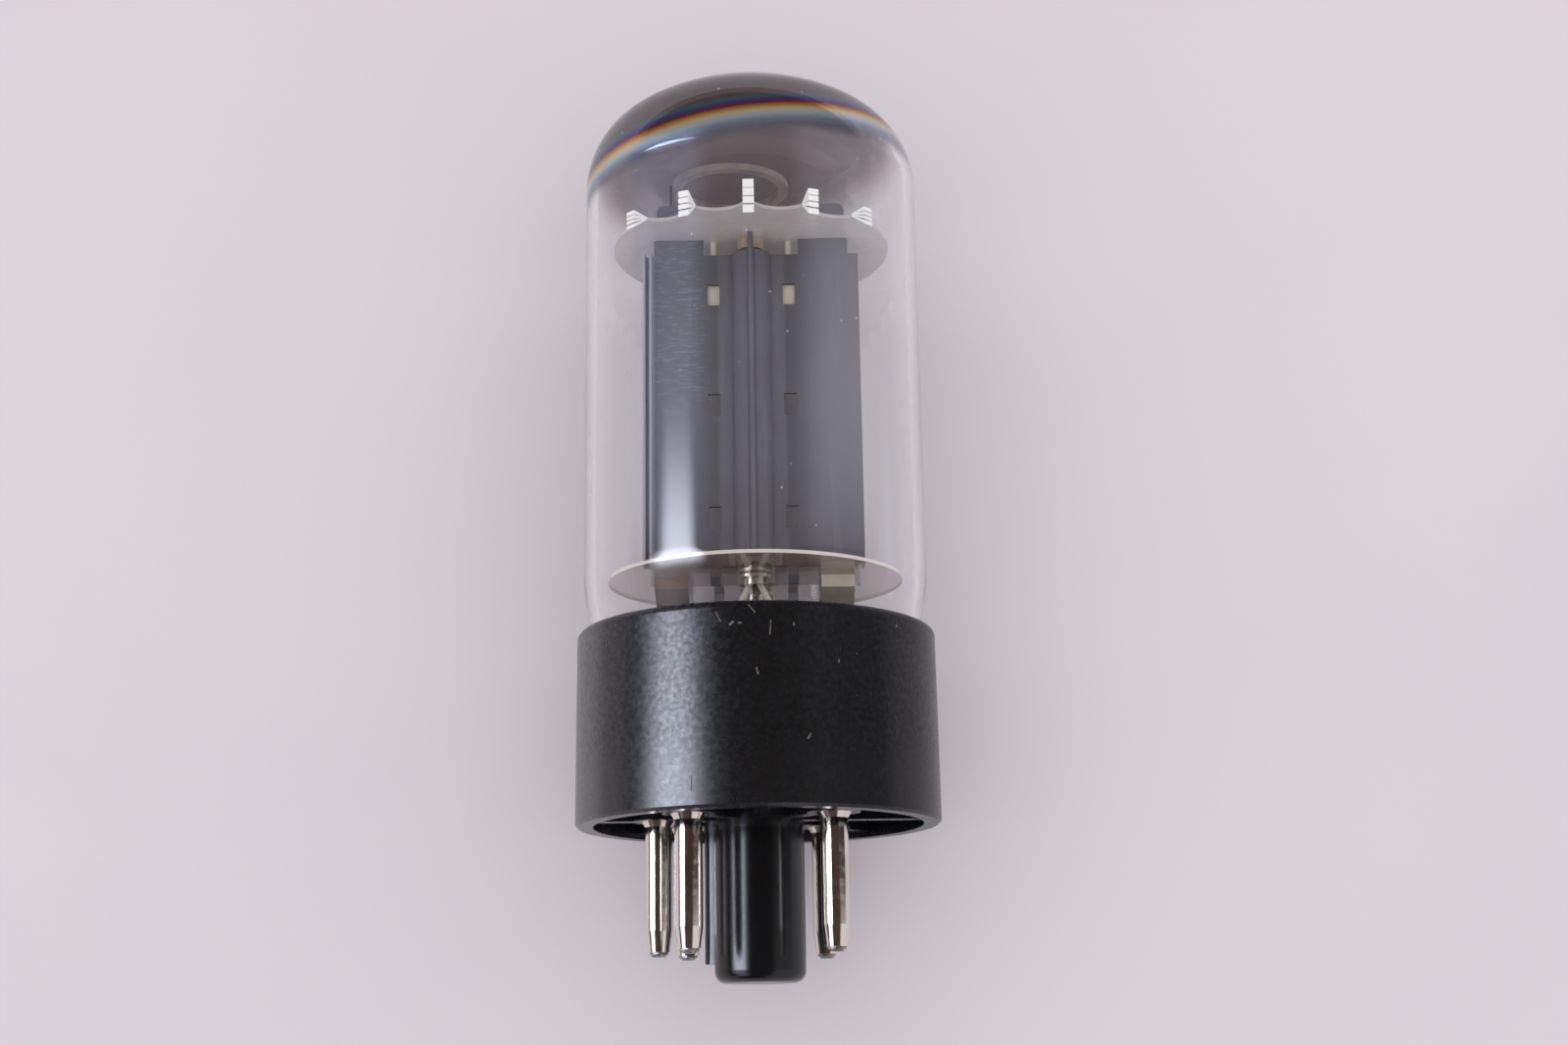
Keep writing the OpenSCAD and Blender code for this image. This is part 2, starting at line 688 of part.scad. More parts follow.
// The end of leaf k, and the bottom of the gap above it unless it is the last
function leaf_end(k, low, high, part_x, tip_x) =
    let(
        step = (high - low)/leaves,
        foot = [low + k*step + (k > 0 ? leaf_gap/2 : 0), low + (k + 1)*step],
        last = k == leaves - 1,
        rise = (k + 1)/leaves)
    [
        [tip_x, foot[0]],
        [tip_x, foot[1] - (last ? 0 : leaf_gap/2)],
        if (!last) [
            part_x + (tip_x - part_x)*split_share,
            (mica_t*rise)*(1 - split_share) + (low + (high - low)*rise)*split_share]
    ];

function post_y() = anode_y - sheet_t - post_d/2 - joint_gap;

// One anode sheet, with its bulge and its short flange to the front
module anode_sheet() {
    difference() {
        union() {
            translate([0, 0, sheet_z]) linear_extrude(sheet_top_z - sheet_z) sheet_section();
            translate([0, 0, sheet_top_z - 0.1]) linear_extrude(sheet_head_gap + 0.1 - joint_gap)
                for (side = [-1, 1])
                    translate([side*(wing_x + wing_end_x)/2, -sheet_t/2])
                        square([wing_end_x - wing_x, sheet_t], center = true);
            for (side = [-1, 1]) {
                translate([side*slot_x - foot_w/2, -sheet_t, low_mica_z - foot_h])
                    cube([foot_w, sheet_t, sheet_z - low_mica_z + foot_h + 0.1]);
                translate([side*leg_x - leg_w/2, -sheet_t, low_mica_z - foot_h])
                    cube([leg_w, sheet_t, sheet_z - low_mica_z + foot_h + 0.1]);
                mirror([side < 0 ? 1 : 0, 0, 0]) ear();
            }
        }
        for (side = [-1, 1], i = [0:slot_count - 1])
            translate([side*slot_x - slot_w/2, -past, slot_top_z - i*slot_pitch - slot_h/2])
                cube([slot_w, 2*past, slot_h]);
    }
}

module ear() {
    translate([0, 0, top_mica_z - 0.2])
        rotate([90, 0, 0]) linear_extrude(sheet_t) {
            translate([ear_x, 0]) square([ear_end_x - ear_x - ear_r, ear_h + mica_t + 0.2]);
            translate([ear_x, 0]) square([ear_end_x - ear_x, ear_h + mica_t + 0.2 - ear_r]);
            translate([ear_end_x - ear_r, ear_h + mica_t + 0.2 - ear_r]) circle(r = ear_r, $fn = 32);
        }
}

module sheet_section() {
    difference() {
        union() {
            translate([-short_half_w, -sheet_t]) square([short_half_w + long_half_w, sheet_t]);
            circle(r = bulge_r);
        }
        circle(r = bulge_r - sheet_t);
        translate([-bulge_r - past, 0]) square([2*(bulge_r + past), bulge_r + past]);
    }
    translate([-short_half_w, -flange_d]) square([sheet_t, flange_d]);
    translate([long_half_w - sheet_t, -sheet_t]) square([sheet_t, flange_d + sheet_t]);
}

module anode_half(y, turned) {
    color("#4b4f5a")
    translate([0, y, 0])
        rotate(turned ? 180 : 0) anode_sheet();
}

module spine(side) {
    color("#5a5d66")
    translate([0, side*(anode_y + bulge_r + spine_d/2 + joint_gap), sheet_z])
        cylinder(d = spine_d, h = top_mica_z - sheet_z - joint_gap, $fn = 24);
}

// A post is a wire with a flattened foot, which is welded on behind the top slot
module posts(side) {
    color("#cfcac2")
    for (x = [-slot_x, slot_x])
        translate([x, side*post_y(), top_mica_z - post_drop]) {
            cylinder(d = post_d, h = post_drop + mica_t + post_rise, $fn = 32);
            translate([-post_foot_w/2, -post_d/2, 0]) cube([post_foot_w, post_d, post_foot_h]);
        }
}

// A leg hangs from an anode's foot and bends in to its stem wire
module anode_leg(side_x, side_y) {
    color("#a9a19a")
    translate([side_x*leg_x - leg_w/2, 0, 0])
        rotate([90, 0, 90]) linear_extrude(leg_w)
            polygon([for (p = concat(leg_path(-1), reversed(leg_path(1)))) [side_y*p[0], p[1]]]);
}
function reversed(list) = [for (i = [len(list) - 1:-1:0]) list[i]];
function leg_path(side) = [
    [leg_y + side*strap_t/2, low_mica_z - joint_gap],
    [leg_y + side*strap_t/2, low_mica_z - foot_h - 1.5*strap_t - side*strap_t/3],
    [leg_in_y + side*strap_t/2, leg_bottom_z + weld_h + (1 - side)*strap_t/3],
    [leg_in_y + side*strap_t/2, leg_bottom_z]];

module cathode(side) {
    color("#d8d2c4")
    translate([0, side*anode_y, low_mica_z - cathode_drop])
        difference() {
            cylinder(r = cathode_r, h = cathode_drop + 2*mica_t + cage_h + cathode_rise);
            translate([0, 0, -past]) cylinder(r = cathode_bore_r, h = cage_h*2);
        }
}

module heater(side) {
    top_z = top_mica_top_z + cathode_rise - heater_inset;
    leg_end_x = bar_x - bar_r - heater_r - joint_gap;
    left = [
        [-leg_end_x, bar_z - bar_r],
        [-leg_end_x, bar_z + bar_r],
        [-heater_x, low_mica_z - cathode_drop + bite]];
    right = [for (p = reversed(left)) [-p[0], p[1]]];
    path = concat(left, arc([0, top_z - heater_x], heater_x, 180, 0, 8), right);
    color("#efece6")
    wire([for (p = path) [p[0], side*anode_y, p[1]]], heater_r, sides = 8);
}

module cathode_bushes() {
    color("#c9a27c")
    for (side = [-1, 1])
        translate([0, side*anode_y, top_mica_z - bush_h])
            difference() {
                cylinder(d = bush_d, h = bush_h);
                translate([0, 0, -past]) cylinder(r = cathode_r, h = bush_h + 2*past);
            }
}

module cathode_eyelets() {
    color("#d9d4ca")
    for (side = [-1, 1])
        translate([0, side*anode_y, low_mica_z])
            difference() {
                union() {
                    translate([0, 0, -eyelet_t]) cylinder(d = eyelet_d, h = eyelet_t);
                    cylinder(r = cathode_r + eyelet_t, h = mica_t);
                    translate([0, 0, mica_t]) cylinder(d = eyelet_d, h = eyelet_t);
                }
                translate([0, 0, -past]) cylinder(r = cathode_r, h = mica_t + 2*past);
            }
}

// The ribbon lies against both sleeves and against the cathode lead
module cathode_ribbon() {
    color("#c9c4ba")
    translate([cathode_r + joint_gap/2, -anode_y - cathode_r/2, low_mica_z - eyelet_t - ribbon_h - joint_gap])
        cube([lead_x - wire_r - cathode_r - joint_gap, 2*anode_y + cathode_r, ribbon_h]);
}

module heater_bar(side) {
    color("#b8b4ac")
    translate([side*bar_x, anode_y + bar_over, bar_z])
        rotate([90, 0, 0]) cylinder(r = bar_r, h = 2*(anode_y + bar_over), $fn = 32);
}

module getter_ring() {
    color("#b9b2a8")
    translate([ring_x, 0, ring_z])
        difference() {
            cylinder(r = ring_r, h = ring_h);
            translate([0, 0, -past]) cylinder(r = ring_r - ring_w, h = ring_h + 2*past);
            translate([0, 0, strap_t]) difference() {
                cylinder(r = ring_r - strap_t/2, h = ring_h);
                translate([0, 0, -past]) cylinder(r = ring_r - ring_w + strap_t/2, h = ring_h + 2*past);
            }
        }
}

module getter_support() {
    low_z = top_mica_z - joint_gap/2 - strap_t;
    color("#c9c4ba")
    translate([support_x - strap_t/2, -support_w/2, 0]) {
        translate([0, 0, low_z]) cube([strap_t, support_w, ring_z + ring_h - low_z]);
        translate([0, 0, low_z]) cube([clinch_len, support_w, strap_t]);
        translate([0, 0, top_mica_top_z + joint_gap/2]) cube([stop_len, support_w, strap_t]);
    }
}

lying() base_shell();
lying() base_cement();
lying() contact_pin(1);  // contact_pin_1
lying() contact_pin(2);  // contact_pin_2
lying() contact_pin(4);  // contact_pin_4
lying() contact_pin(6);  // contact_pin_6
lying() contact_pin(8);  // contact_pin_8
lying() pin_solder();
lying() glass_bulb();
lying() getter_film();
lying() glass_stem();
lying() anode_lead_front();
lying() anode_lead_rear();
lying() heater_lead();
lying() cathode_lead();
lying() support_wire(pinch_xs[0], -leg_x - 0.85);  // support_wire_front
lying() support_wire(pinch_xs[1], -leg_x + 0.65);  // support_wire_rear
lying() lower_mica();
lying() upper_mica();
lying() anode_half(-anode_y, false);  // front_anode_outer_sheet
lying() anode_half(-anode_y, true);  // front_anode_inner_sheet
lying() anode_half(anode_y, false);  // rear_anode_inner_sheet
lying() anode_half(anode_y, true);  // rear_anode_outer_sheet
lying() spine(-1);  // front_spine
lying() spine(1);  // rear_spine
lying() posts(-1);  // front_posts
lying() posts(1);  // rear_posts
lying() anode_leg(-1, -1);  // front_left_leg
lying() anode_leg(1, -1);  // front_right_leg
lying() anode_leg(-1, 1);  // rear_left_leg
lying() anode_leg(1, 1);  // rear_right_leg
lying() cathode(-1);  // front_cathode
lying() cathode(1);  // rear_cathode
lying() heater(-1);  // front_heater
lying() heater(1);  // rear_heater
lying() cathode_bushes();
lying() cathode_eyelets();
lying() cathode_ribbon();
lying() heater_bar(-1);  // left_heater_bar
lying() heater_bar(1);  // right_heater_bar
lying() getter_ring();
lying() getter_support();
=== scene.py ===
# %% [markdown]
# A rectifier tube lies on a pale sheet. Its solids come from the imported frame, in metres, and this
# script only gives them their finish, their light and what the frame can't hold.

# %% Load the fixed frame
import json
import math

import bmesh
import bpy
from mathutils import Euler, Matrix, Vector


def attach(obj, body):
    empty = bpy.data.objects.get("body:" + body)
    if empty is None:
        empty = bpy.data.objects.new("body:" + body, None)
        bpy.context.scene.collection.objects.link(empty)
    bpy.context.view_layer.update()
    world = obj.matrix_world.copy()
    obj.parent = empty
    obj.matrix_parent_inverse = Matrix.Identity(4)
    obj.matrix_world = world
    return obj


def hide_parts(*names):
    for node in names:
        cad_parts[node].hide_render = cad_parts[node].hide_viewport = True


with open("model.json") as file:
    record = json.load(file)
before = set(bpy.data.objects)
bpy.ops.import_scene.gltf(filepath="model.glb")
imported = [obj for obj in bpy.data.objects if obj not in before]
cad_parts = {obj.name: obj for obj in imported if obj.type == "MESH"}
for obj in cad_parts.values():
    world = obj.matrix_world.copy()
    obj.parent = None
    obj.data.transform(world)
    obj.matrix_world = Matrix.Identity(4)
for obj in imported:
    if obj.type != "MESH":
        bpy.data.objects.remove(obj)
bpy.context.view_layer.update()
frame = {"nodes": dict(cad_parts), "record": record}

# %% [markdown]
# The photograph looks down at the tube from the base end. A camera could be placed by eye, but
# this one's lens and place were fitted to the outlines of the base, the micas and the pins, so
# that the render and the photograph can be laid over each other.

# %% Place the camera
MM = 0.001
CAMERA_AT_MM = (2.649, -45.591, 207.005)
CAMERA_TURN_DEG = (13.232, 0.215, -0.915)
scene = bpy.context.scene
camera = bpy.data.objects.new("camera", bpy.data.cameras.new("camera"))
scene.collection.objects.link(camera)
camera.location = Vector(CAMERA_AT_MM) * MM
camera.rotation_euler = Euler([math.radians(angle) for angle in CAMERA_TURN_DEG])
camera.data.sensor_width = 36
camera.data.lens = 49.84
camera.data.clip_start = 0.01
scene.camera = camera
print("camera at", camera.location[:], "lens", camera.data.lens)

# %% [markdown]
# A tube is easiest to draw in its own frame: z runs from the base rim to the dome, and -y is
# the front. The solids themselves are fixed where they lie, so a helper takes a point of the
# tube's frame and lays it down there.

# %% The tube's own frame
LIE_TURN = math.radians(90.738)
AXIS_AT = Vector((0.0, -27.980, 16.110))
TUBE_TURN = Matrix.Rotation(-LIE_TURN, 3, "X")
TOP_Z = 69.4


def lay_down(x, y, z):
    """A point of the tube's own frame, in millimetres, as a place in the scene."""
    return (TUBE_TURN @ Vector((x, y, z)) + AXIS_AT) * MM


print("crown lies at", lay_down(0, 0, TOP_Z))

# %% [markdown]
# Colours are easiest to read off a picture as codes, but Blender reckons with light, which is
# linear. The codes could be turned by hand, and a helper makes fewer mistakes.

# %% Read a colour code
def rgb(code):
    """A colour written as in a picture, made linear."""
    parts = [int(code[i:i + 2], 16) / 255 for i in (1, 3, 5)]
    return [p / 12.92 if p <= 0.04045 else ((p + 0.055) / 1.055) ** 2.4 for p in parts] + [1]


print("mid grey is", rgb("#808080")[0], "in linear light")

# %% [markdown]
# Node trees could be put together by hand in the editor. In a script every node takes several
# lines, so a few helpers stand for the commonest ones: a soft step between two values, one
# step of arithmetic, and a mix of two colours. Each takes plain values and other nodes' outputs.

# %% Helpers for node trees
def add(tree, kind, **settings):
    """A new node of one kind, with its settings."""
    node = tree.nodes.new(kind)
    for name, value in settings.items():
        setattr(node, name, value)
    return node


def feed(tree, socket, value):
    """Links another node's output to a socket, or writes a plain value into it."""
    if isinstance(value, bpy.types.NodeSocket):
        tree.links.new(value, socket)
    else:
        socket.default_value = value


def band(tree, source, low, high):
    """A soft step: 0 on the side of low and 1 on the side of high, whichever is larger."""
    step = add(tree, "ShaderNodeMapRange", interpolation_type="SMOOTHSTEP")
    for name, value in (("Value", source), ("From Min", low), ("From Max", high)):
        feed(tree, step.inputs[name], value)
    return step.outputs["Result"]


def math_node(tree, operation, *values):
    """One step of arithmetic."""
    node = add(tree, "ShaderNodeMath", operation=operation)
    for socket, value in zip(node.inputs, values):
        feed(tree, socket, value)
    return node.outputs["Value"]


def blend(tree, mask, first, second):
    """The first colour where the mask is 0, the second where it is 1."""
    mix = add(tree, "ShaderNodeMix", data_type="RGBA")
    for name, value in (("Factor", mask), ("A", first), ("B", second)):
        feed(tree, mix.inputs[name], value)
    return mix.outputs["Result"]


print("helpers:", [helper.__name__ for helper in (add, feed, band, math_node, blend)])

# %% [markdown]
# The photograph was lit softly from all round. Lamps could give that too, but an even white
# sky is softer and needs no aiming, and at this level a colour looks as it is written. The view
# transform is Standard, because it leaves colours as they are.

# %% Light the tube
scene.view_settings.view_transform = "Standard"
world = bpy.data.worlds.new("soft sky")
scene.world = world
world.use_nodes = True
sky = world.node_tree
even = sky.nodes["Background"]
even.inputs["Color"].default_value = (1, 1, 1, 1)
print("even sky:", even.inputs["Color"].default_value[:])

# %% [markdown]
# What gloss shows is another matter: a dim brown room and a window. Real walls would shade the
# tube, so the room is painted on the sky, and only glossy rays see it. Two numbers say where
# something stands in it: the turn from straight up towards the left, in radians, and the
# share along the tube, from -1 at the pins' end to 1 at the dome's.

# %% Find directions in the room
view = add(sky, "ShaderNodeTexCoord")
axes = add(sky, "ShaderNodeSeparateXYZ")
sky.links.new(view.outputs["Generated"], axes.inputs["Vector"])
along = axes.outputs["Y"]
leftward = math_node(sky, "MULTIPLY", axes.outputs["X"], -1)
to_left = math_node(sky, "ARCTAN2", leftward, axes.outputs["Z"])
to_side = math_node(sky, "ABSOLUTE", to_left)
print("nodes so far:", len(sky.nodes))

# %% [markdown]
# The room is brown overhead, darker on the right, and as pale as the sheet low on the left.
# Towards the dome a lit wall stands on both sides, bluer on the left, and another pale wall
# stands on the right, towards the pins. They could be shapes in a picture, but soft steps need
# no picture. Each pair of numbers says where a step starts and where it ends.

# %% Paint the walls
SIDES, RIGHT, PALE_LEFT = (0.6, 1.3), (-0.8, -1.2), (1.65, 2.0)
FAR_FROM, FAR_TO, FAR_SIDES = (0.19, 0.25), (0.45, 0.6), (0.42, 0.8)
FAR_RIGHT_LIGHT, FAR_LEFT_LIGHT = (0.62, 0.60, 0.66, 1), (0.52, 0.56, 0.84, 1)
NEAR_ALONG, NEAR_RIGHT, NEAR_LIGHT = (0.085, 0.05), (-0.5, -0.75), (0.75, 0.72, 0.74, 1)
walls = blend(sky, band(sky, to_side, *SIDES), rgb("#45352f"), rgb("#433f3d"))
walls = blend(sky, band(sky, to_left, *RIGHT), walls, rgb("#2f2c2d"))
walls = blend(sky, band(sky, to_left, *PALE_LEFT), walls, rgb("#eadfe8"))
far_end = math_node(sky, "SUBTRACT", band(sky, along, *FAR_FROM), band(sky, along, *FAR_TO))
far_wall = math_node(sky, "MULTIPLY", far_end, band(sky, to_side, *FAR_SIDES))
far_left = math_node(sky, "GREATER_THAN", to_left, 0.0)
walls = blend(sky, far_wall, walls, blend(sky, far_left, FAR_RIGHT_LIGHT, FAR_LEFT_LIGHT))
near_end = band(sky, along, *NEAR_ALONG)
near_wall = math_node(sky, "MULTIPLY", near_end, band(sky, to_left, *NEAR_RIGHT))
walls = blend(sky, near_wall, walls, NEAR_LIGHT)
print("nodes of the walls:", len(sky.nodes))

# %% [markdown]
# The window gives the grey streak on the base, the white stripe on each pin and the pale band
# on the glass. A bright panel would light the sheet as well, so it is painted too. It is soft:
# broad at the base, narrowing as it fades out up the glass, and dim towards the pins.

# %% Open the window
WINDOW_TURN, WINDOW_HALF = 0.92, 0.35
FADES_FROM, FADES_OVER, NARROWS = 0.10, 0.185, 2.0
PANE_EDGE, PANE_END = (1.3, 0.1), (1.15, 0.25)
NEAR_FADE, NEAR_DIM, NEAR_STOP = (-0.15, -0.02), 0.15, (-0.8, -0.6)
WINDOW_LIGHT = (12.0, 12.5, 14.6, 1)
across = math_node(sky, "DIVIDE", math_node(sky, "SUBTRACT", to_left, WINDOW_TURN), WINDOW_HALF)
past = math_node(sky, "MAXIMUM", math_node(sky, "SUBTRACT", along, FADES_FROM), 0.0)
beyond = math_node(sky, "DIVIDE", past, FADES_OVER)
squeezed = math_node(sky, "MULTIPLY_ADD", beyond, NARROWS, 1.0)
narrow = math_node(sky, "MULTIPLY", math_node(sky, "POWER", across, 2.0), squeezed)
inside = math_node(sky, "MULTIPLY", band(sky, narrow, *PANE_EDGE), band(sky, beyond, *PANE_END))
dimmed = math_node(sky, "MULTIPLY_ADD", band(sky, along, *NEAR_FADE), 1 - NEAR_DIM, NEAR_DIM)
ending = math_node(sky, "MULTIPLY", dimmed, band(sky, along, *NEAR_STOP))
pane = math_node(sky, "MULTIPLY", inside, ending)
room = add(sky, "ShaderNodeBackground")
sky.links.new(blend(sky, pane, walls, WINDOW_LIGHT), room.inputs["Color"])
print("the window is", 2 * WINDOW_HALF, "radians across")

# %% [markdown]
# A ray that comes off a glossy surface has to meet the painted room, and every other ray the
# even sky. Light Path tells the two apart, and a Mix Shader chooses.

# %% Show the room to gloss alone
ray = add(sky, "ShaderNodeLightPath")
choose = add(sky, "ShaderNodeMixShader")
sky.links.new(ray.outputs["Is Glossy Ray"], choose.inputs["Fac"])
sky.links.new(even.outputs["Background"], choose.inputs[1])
sky.links.new(room.outputs["Background"], choose.inputs[2])
sky.links.new(choose.outputs["Shader"], sky.nodes["World Output"].inputs["Surface"])
print("sky nodes:", len(sky.nodes))

# %% [markdown]
# The tube lies on plain pale paper. Its creases aren't part of the tube, so one flat face is
# enough. It belongs to the stage, and it keeps the shadow.

# %% Lay the sheet
SHEET_HALF = 2
sheet_corners = [
    (a * SHEET_HALF, b * SHEET_HALF, 0) for a, b in ((-1, -1), (1, -1), (1, 1), (-1, 1))]
sheet_mesh = bpy.data.meshes.new("pale_sheet")
sheet_mesh.from_pydata(sheet_corners, [], [(0, 1, 2, 3)])
pale_sheet = bpy.data.objects.new("pale_sheet", sheet_mesh)
scene.collection.objects.link(pale_sheet)
print("sheet:", pale_sheet.dimensions[:])

# %% [markdown]
# Most surfaces here are one shader with a colour, a roughness and a share of metal. The three
# could be set material by material, so a helper saves only lines, but it also notes which
# node is the shader, and later helpers find it by that.

# %% Start a material
def start(name, color, rough, metallic=0.0):
    """A material of one colour, one roughness and one share of metal."""
    mat = bpy.data.materials.new(name)
    mat.use_nodes = True
    shader = mat.node_tree.nodes["Principled BSDF"]
    shader.inputs["Base Color"].default_value = rgb(color)
    shader.inputs["Roughness"].default_value = rough
    shader.inputs["Metallic"].default_value = metallic
    mat["shader"] = shader.name
    return mat


def shader_of(mat):
    return mat.node_tree.nodes[mat["shader"]]


print("materials so far:", len(bpy.data.materials))

# %% [markdown]
# Every pattern below is measured in millimetres of the tube's own frame, so that a streak along
# the tube is just a streak along z. Generated coordinates would stretch with each piece, and
# these don't. Helpers give a surface's place, its three axes and its distance from the axis.

# %% Find the place on the tube
def tube_mm(mat):
    """The surface's place in the tube's own frame, in millimetres."""
    tree = mat.node_tree
    place = add(tree, "ShaderNodeTexCoord")
    turn = add(tree, "ShaderNodeMapping")
    turn.inputs["Scale"].default_value = [1 / MM] * 3
    turn.inputs["Rotation"].default_value = (LIE_TURN, 0, 0)
    turn.inputs["Location"].default_value = -(Matrix.Rotation(LIE_TURN, 3, "X") @ AXIS_AT)
    tree.links.new(place.outputs["Object"], turn.inputs["Vector"])
    return turn.outputs["Vector"]


def tube_axes(mat):
    """That place as three outputs: X, Y and Z."""
    apart = add(mat.node_tree, "ShaderNodeSeparateXYZ")
    mat.node_tree.links.new(tube_mm(mat), apart.inputs["Vector"])
    return apart.outputs


def from_axis(mat):
    """The surface's distance from the tube's axis, in millimetres."""
    tree, place = mat.node_tree, tube_axes(mat)
    flat = add(tree, "ShaderNodeCombineXYZ")
    reach = add(tree, "ShaderNodeVectorMath", operation="LENGTH")
    tree.links.new(place["X"], flat.inputs["X"])
    tree.links.new(place["Y"], flat.inputs["Y"])
    tree.links.new(flat.outputs["Vector"], reach.inputs[0])
    return reach.outputs["Value"]


print("one scene unit is", 1 / MM, "millimetres")

# %% [markdown]
# Two kinds of wear come back on many surfaces: cloudy haze and fine scratches. They could be
# drawn anew in every material. Instead each is a node group that is built once and put into a
# material with that material's own values. Haze is a noise whose higher values make the mask.

# %% Build the haze group
def wear_group(name, sizes):
    """A group from a place and some sizes to a mask, with its input and output nodes."""
    group = bpy.data.node_groups.new(name, "ShaderNodeTree")
    group.interface.new_socket("Place", in_out="INPUT", socket_type="NodeSocketVector")
    for size, value in sizes.items():
        socket = group.interface.new_socket(size, in_out="INPUT", socket_type="NodeSocketFloat")
        socket.default_value = value
    group.interface.new_socket("Mask", in_out="OUTPUT", socket_type="NodeSocketFloat")
    return group, add(group, "NodeGroupInput").outputs, add(group, "NodeGroupOutput").inputs


CLOUD_BEGIN, CLOUD_FULL = 0.4, 0.7
haze, haze_given, haze_out = wear_group(
    "haze", {"Scale": 0.4, "Start": CLOUD_BEGIN, "Full": CLOUD_FULL})
cloud = add(haze, "ShaderNodeTexNoise")
cloud.inputs["Detail"].default_value = 6
haze.links.new(haze_given["Place"], cloud.inputs["Vector"])
haze.links.new(haze_given["Scale"], cloud.inputs["Scale"])
clouds = band(haze, cloud.outputs["Fac"], haze_given["Start"], haze_given["Full"])
haze.links.new(clouds, haze_out["Mask"])
print("haze takes", haze_given.keys())

# %% [markdown]
# Scratches are the same noise, squeezed or drawn out along the tube. A small Stretch gives long
# lines along it, and a large one gives lines round it.

# %% Build the scratches group
SCRATCH_SOFT = 0.06
scratches, scratch_given, scratch_out = wear_group(
    "scratches", {"Scale": 1.0, "Stretch": 14.0, "Start": 0.68})
squeeze = add(scratches, "ShaderNodeCombineXYZ")
squeeze.inputs["X"].default_value = 1
squeeze.inputs["Y"].default_value = 1
lengthen = add(scratches, "ShaderNodeVectorMath", operation="MULTIPLY")
streak = add(scratches, "ShaderNodeTexNoise")
streak.inputs["Detail"].default_value = 3
scratches.links.new(scratch_given["Stretch"], squeeze.inputs["Z"])
scratches.links.new(scratch_given["Place"], lengthen.inputs[0])
scratches.links.new(squeeze.outputs["Vector"], lengthen.inputs[1])
scratches.links.new(lengthen.outputs["Vector"], streak.inputs["Vector"])
scratches.links.new(scratch_given["Scale"], streak.inputs["Scale"])
scratch_full = math_node(scratches, "ADD", scratch_given["Start"], SCRATCH_SOFT)
lines = band(scratches, streak.outputs["Fac"], scratch_given["Start"], scratch_full)
scratches.links.new(lines, scratch_out["Mask"])
print("scratches take", scratch_given.keys())

# %% [markdown]
# A mask can change a finish in three ways: its colour, its roughness or its height. Each has a
# helper, so that the finishes below read like recipes, one layer a line.

# %% Use a wear group
def wear(mat, group, **sizes):
    """The mask of one wear group on this material."""
    node = add(mat.node_tree, "ShaderNodeGroup", node_tree=group)
    mat.node_tree.links.new(tube_mm(mat), node.inputs["Place"])
    for name, value in sizes.items():
        node.inputs[name].default_value = value
    return node.outputs["Mask"]


def tint(mat, mask, color, share=1.0):
    """Blends a colour over the base colour where the mask is up."""
    tree, base = mat.node_tree, shader_of(mat).inputs["Base Color"]
    old = base.links[0].from_socket if base.is_linked else base.default_value[:]
    weight = math_node(tree, "MULTIPLY", mask, share)
    tree.links.new(blend(tree, weight, old, rgb(color)), base)


def spread(tree, mask, low, high):
    """The mask as a value between low and high."""
    ramp = add(tree, "ShaderNodeMapRange")
    ramp.inputs["To Min"].default_value = low
    ramp.inputs["To Max"].default_value = high
    tree.links.new(mask, ramp.inputs["Value"])
    return ramp.outputs["Result"]


def roughen(mat, mask, low, high):
    """Roughness from low, where the mask is 0, to high."""
    mat.node_tree.links.new(spread(mat.node_tree, mask, low, high), shader_of(mat).inputs["Roughness"])


def emboss(mat, mask, depth_mm):
    """Raises the surface where the mask is up."""
    bump = add(mat.node_tree, "ShaderNodeBump")
    bump.inputs["Distance"].default_value = depth_mm * MM
    mat.node_tree.links.new(mask, bump.inputs["Height"])
    mat.node_tree.links.new(bump.outputs["Normal"], shader_of(mat).inputs["Normal"])


print("wear groups:", [group.name for group in (haze, scratches)])

# %% [markdown]
# Many finishes here are one colour with soft clouds of a second. Writing each out would take
# two lines for the same idea, so it has a helper of its own, with the commonest limits.

# %% Cloud a finish
def gloss(mat, value):
    """How much a surface that isn't metal reflects."""
    shader_of(mat).inputs["Specular IOR Level"].default_value = value


def clouded(
        name, color, second, share, scale, rough, metallic=0.0, begin=CLOUD_BEGIN, full=CLOUD_FULL):
    """A finish of one colour with soft clouds of a second one."""
    mat = start(name, color, rough, metallic)
    tint(mat, wear(mat, haze, Scale=scale, Start=begin, Full=full), second, share)
    return mat


print("clouds start and end at", CLOUD_BEGIN, CLOUD_FULL)

# %% [markdown]
# The sheet is matt and plain, with only the faintest cloudiness. More would look like a cloth.

# %% Finish the sheet
FAINT_GLOSS = 0.1
sheet_finish = clouded(
    "pale sheet", "#ded7de", "#d9d1d9", share=0.8, scale=0.02, rough=0.8, begin=0.35, full=0.75)
gloss(sheet_finish, FAINT_GLOSS)
sheet_mesh.materials.append(sheet_finish)
print("sheet finish:", sheet_finish.name)

# %% [markdown]
# The base is black phenolic that has been handled for decades: satin, with a fine mottling that
# shows in the highlight. Its own colour hardly shows, so the colour layers are faint, and most
# of the look lies in the roughness and in the fine grain that breaks the highlight up.

# %% Finish the base
black = start("black phenolic", "#0e0f12", 0.3)
tint(black, wear(black, haze, Scale=0.5), "#131419", 0.6)
tint(black, wear(black, haze, Scale=6.0, Start=0.72, Full=0.78), "#4d4842", 0.5)
tint(black, wear(black, scratches, Scale=2.2, Stretch=0.12, Start=0.72), "#3a3838", 0.3)
roughen(black, wear(black, haze, Scale=2.0, Start=0.3), 0.31, 0.24)
emboss(black, wear(black, haze, Scale=6.0, Start=0.1, Full=0.9), 0.001)
print("base nodes:", len(black.node_tree.nodes))

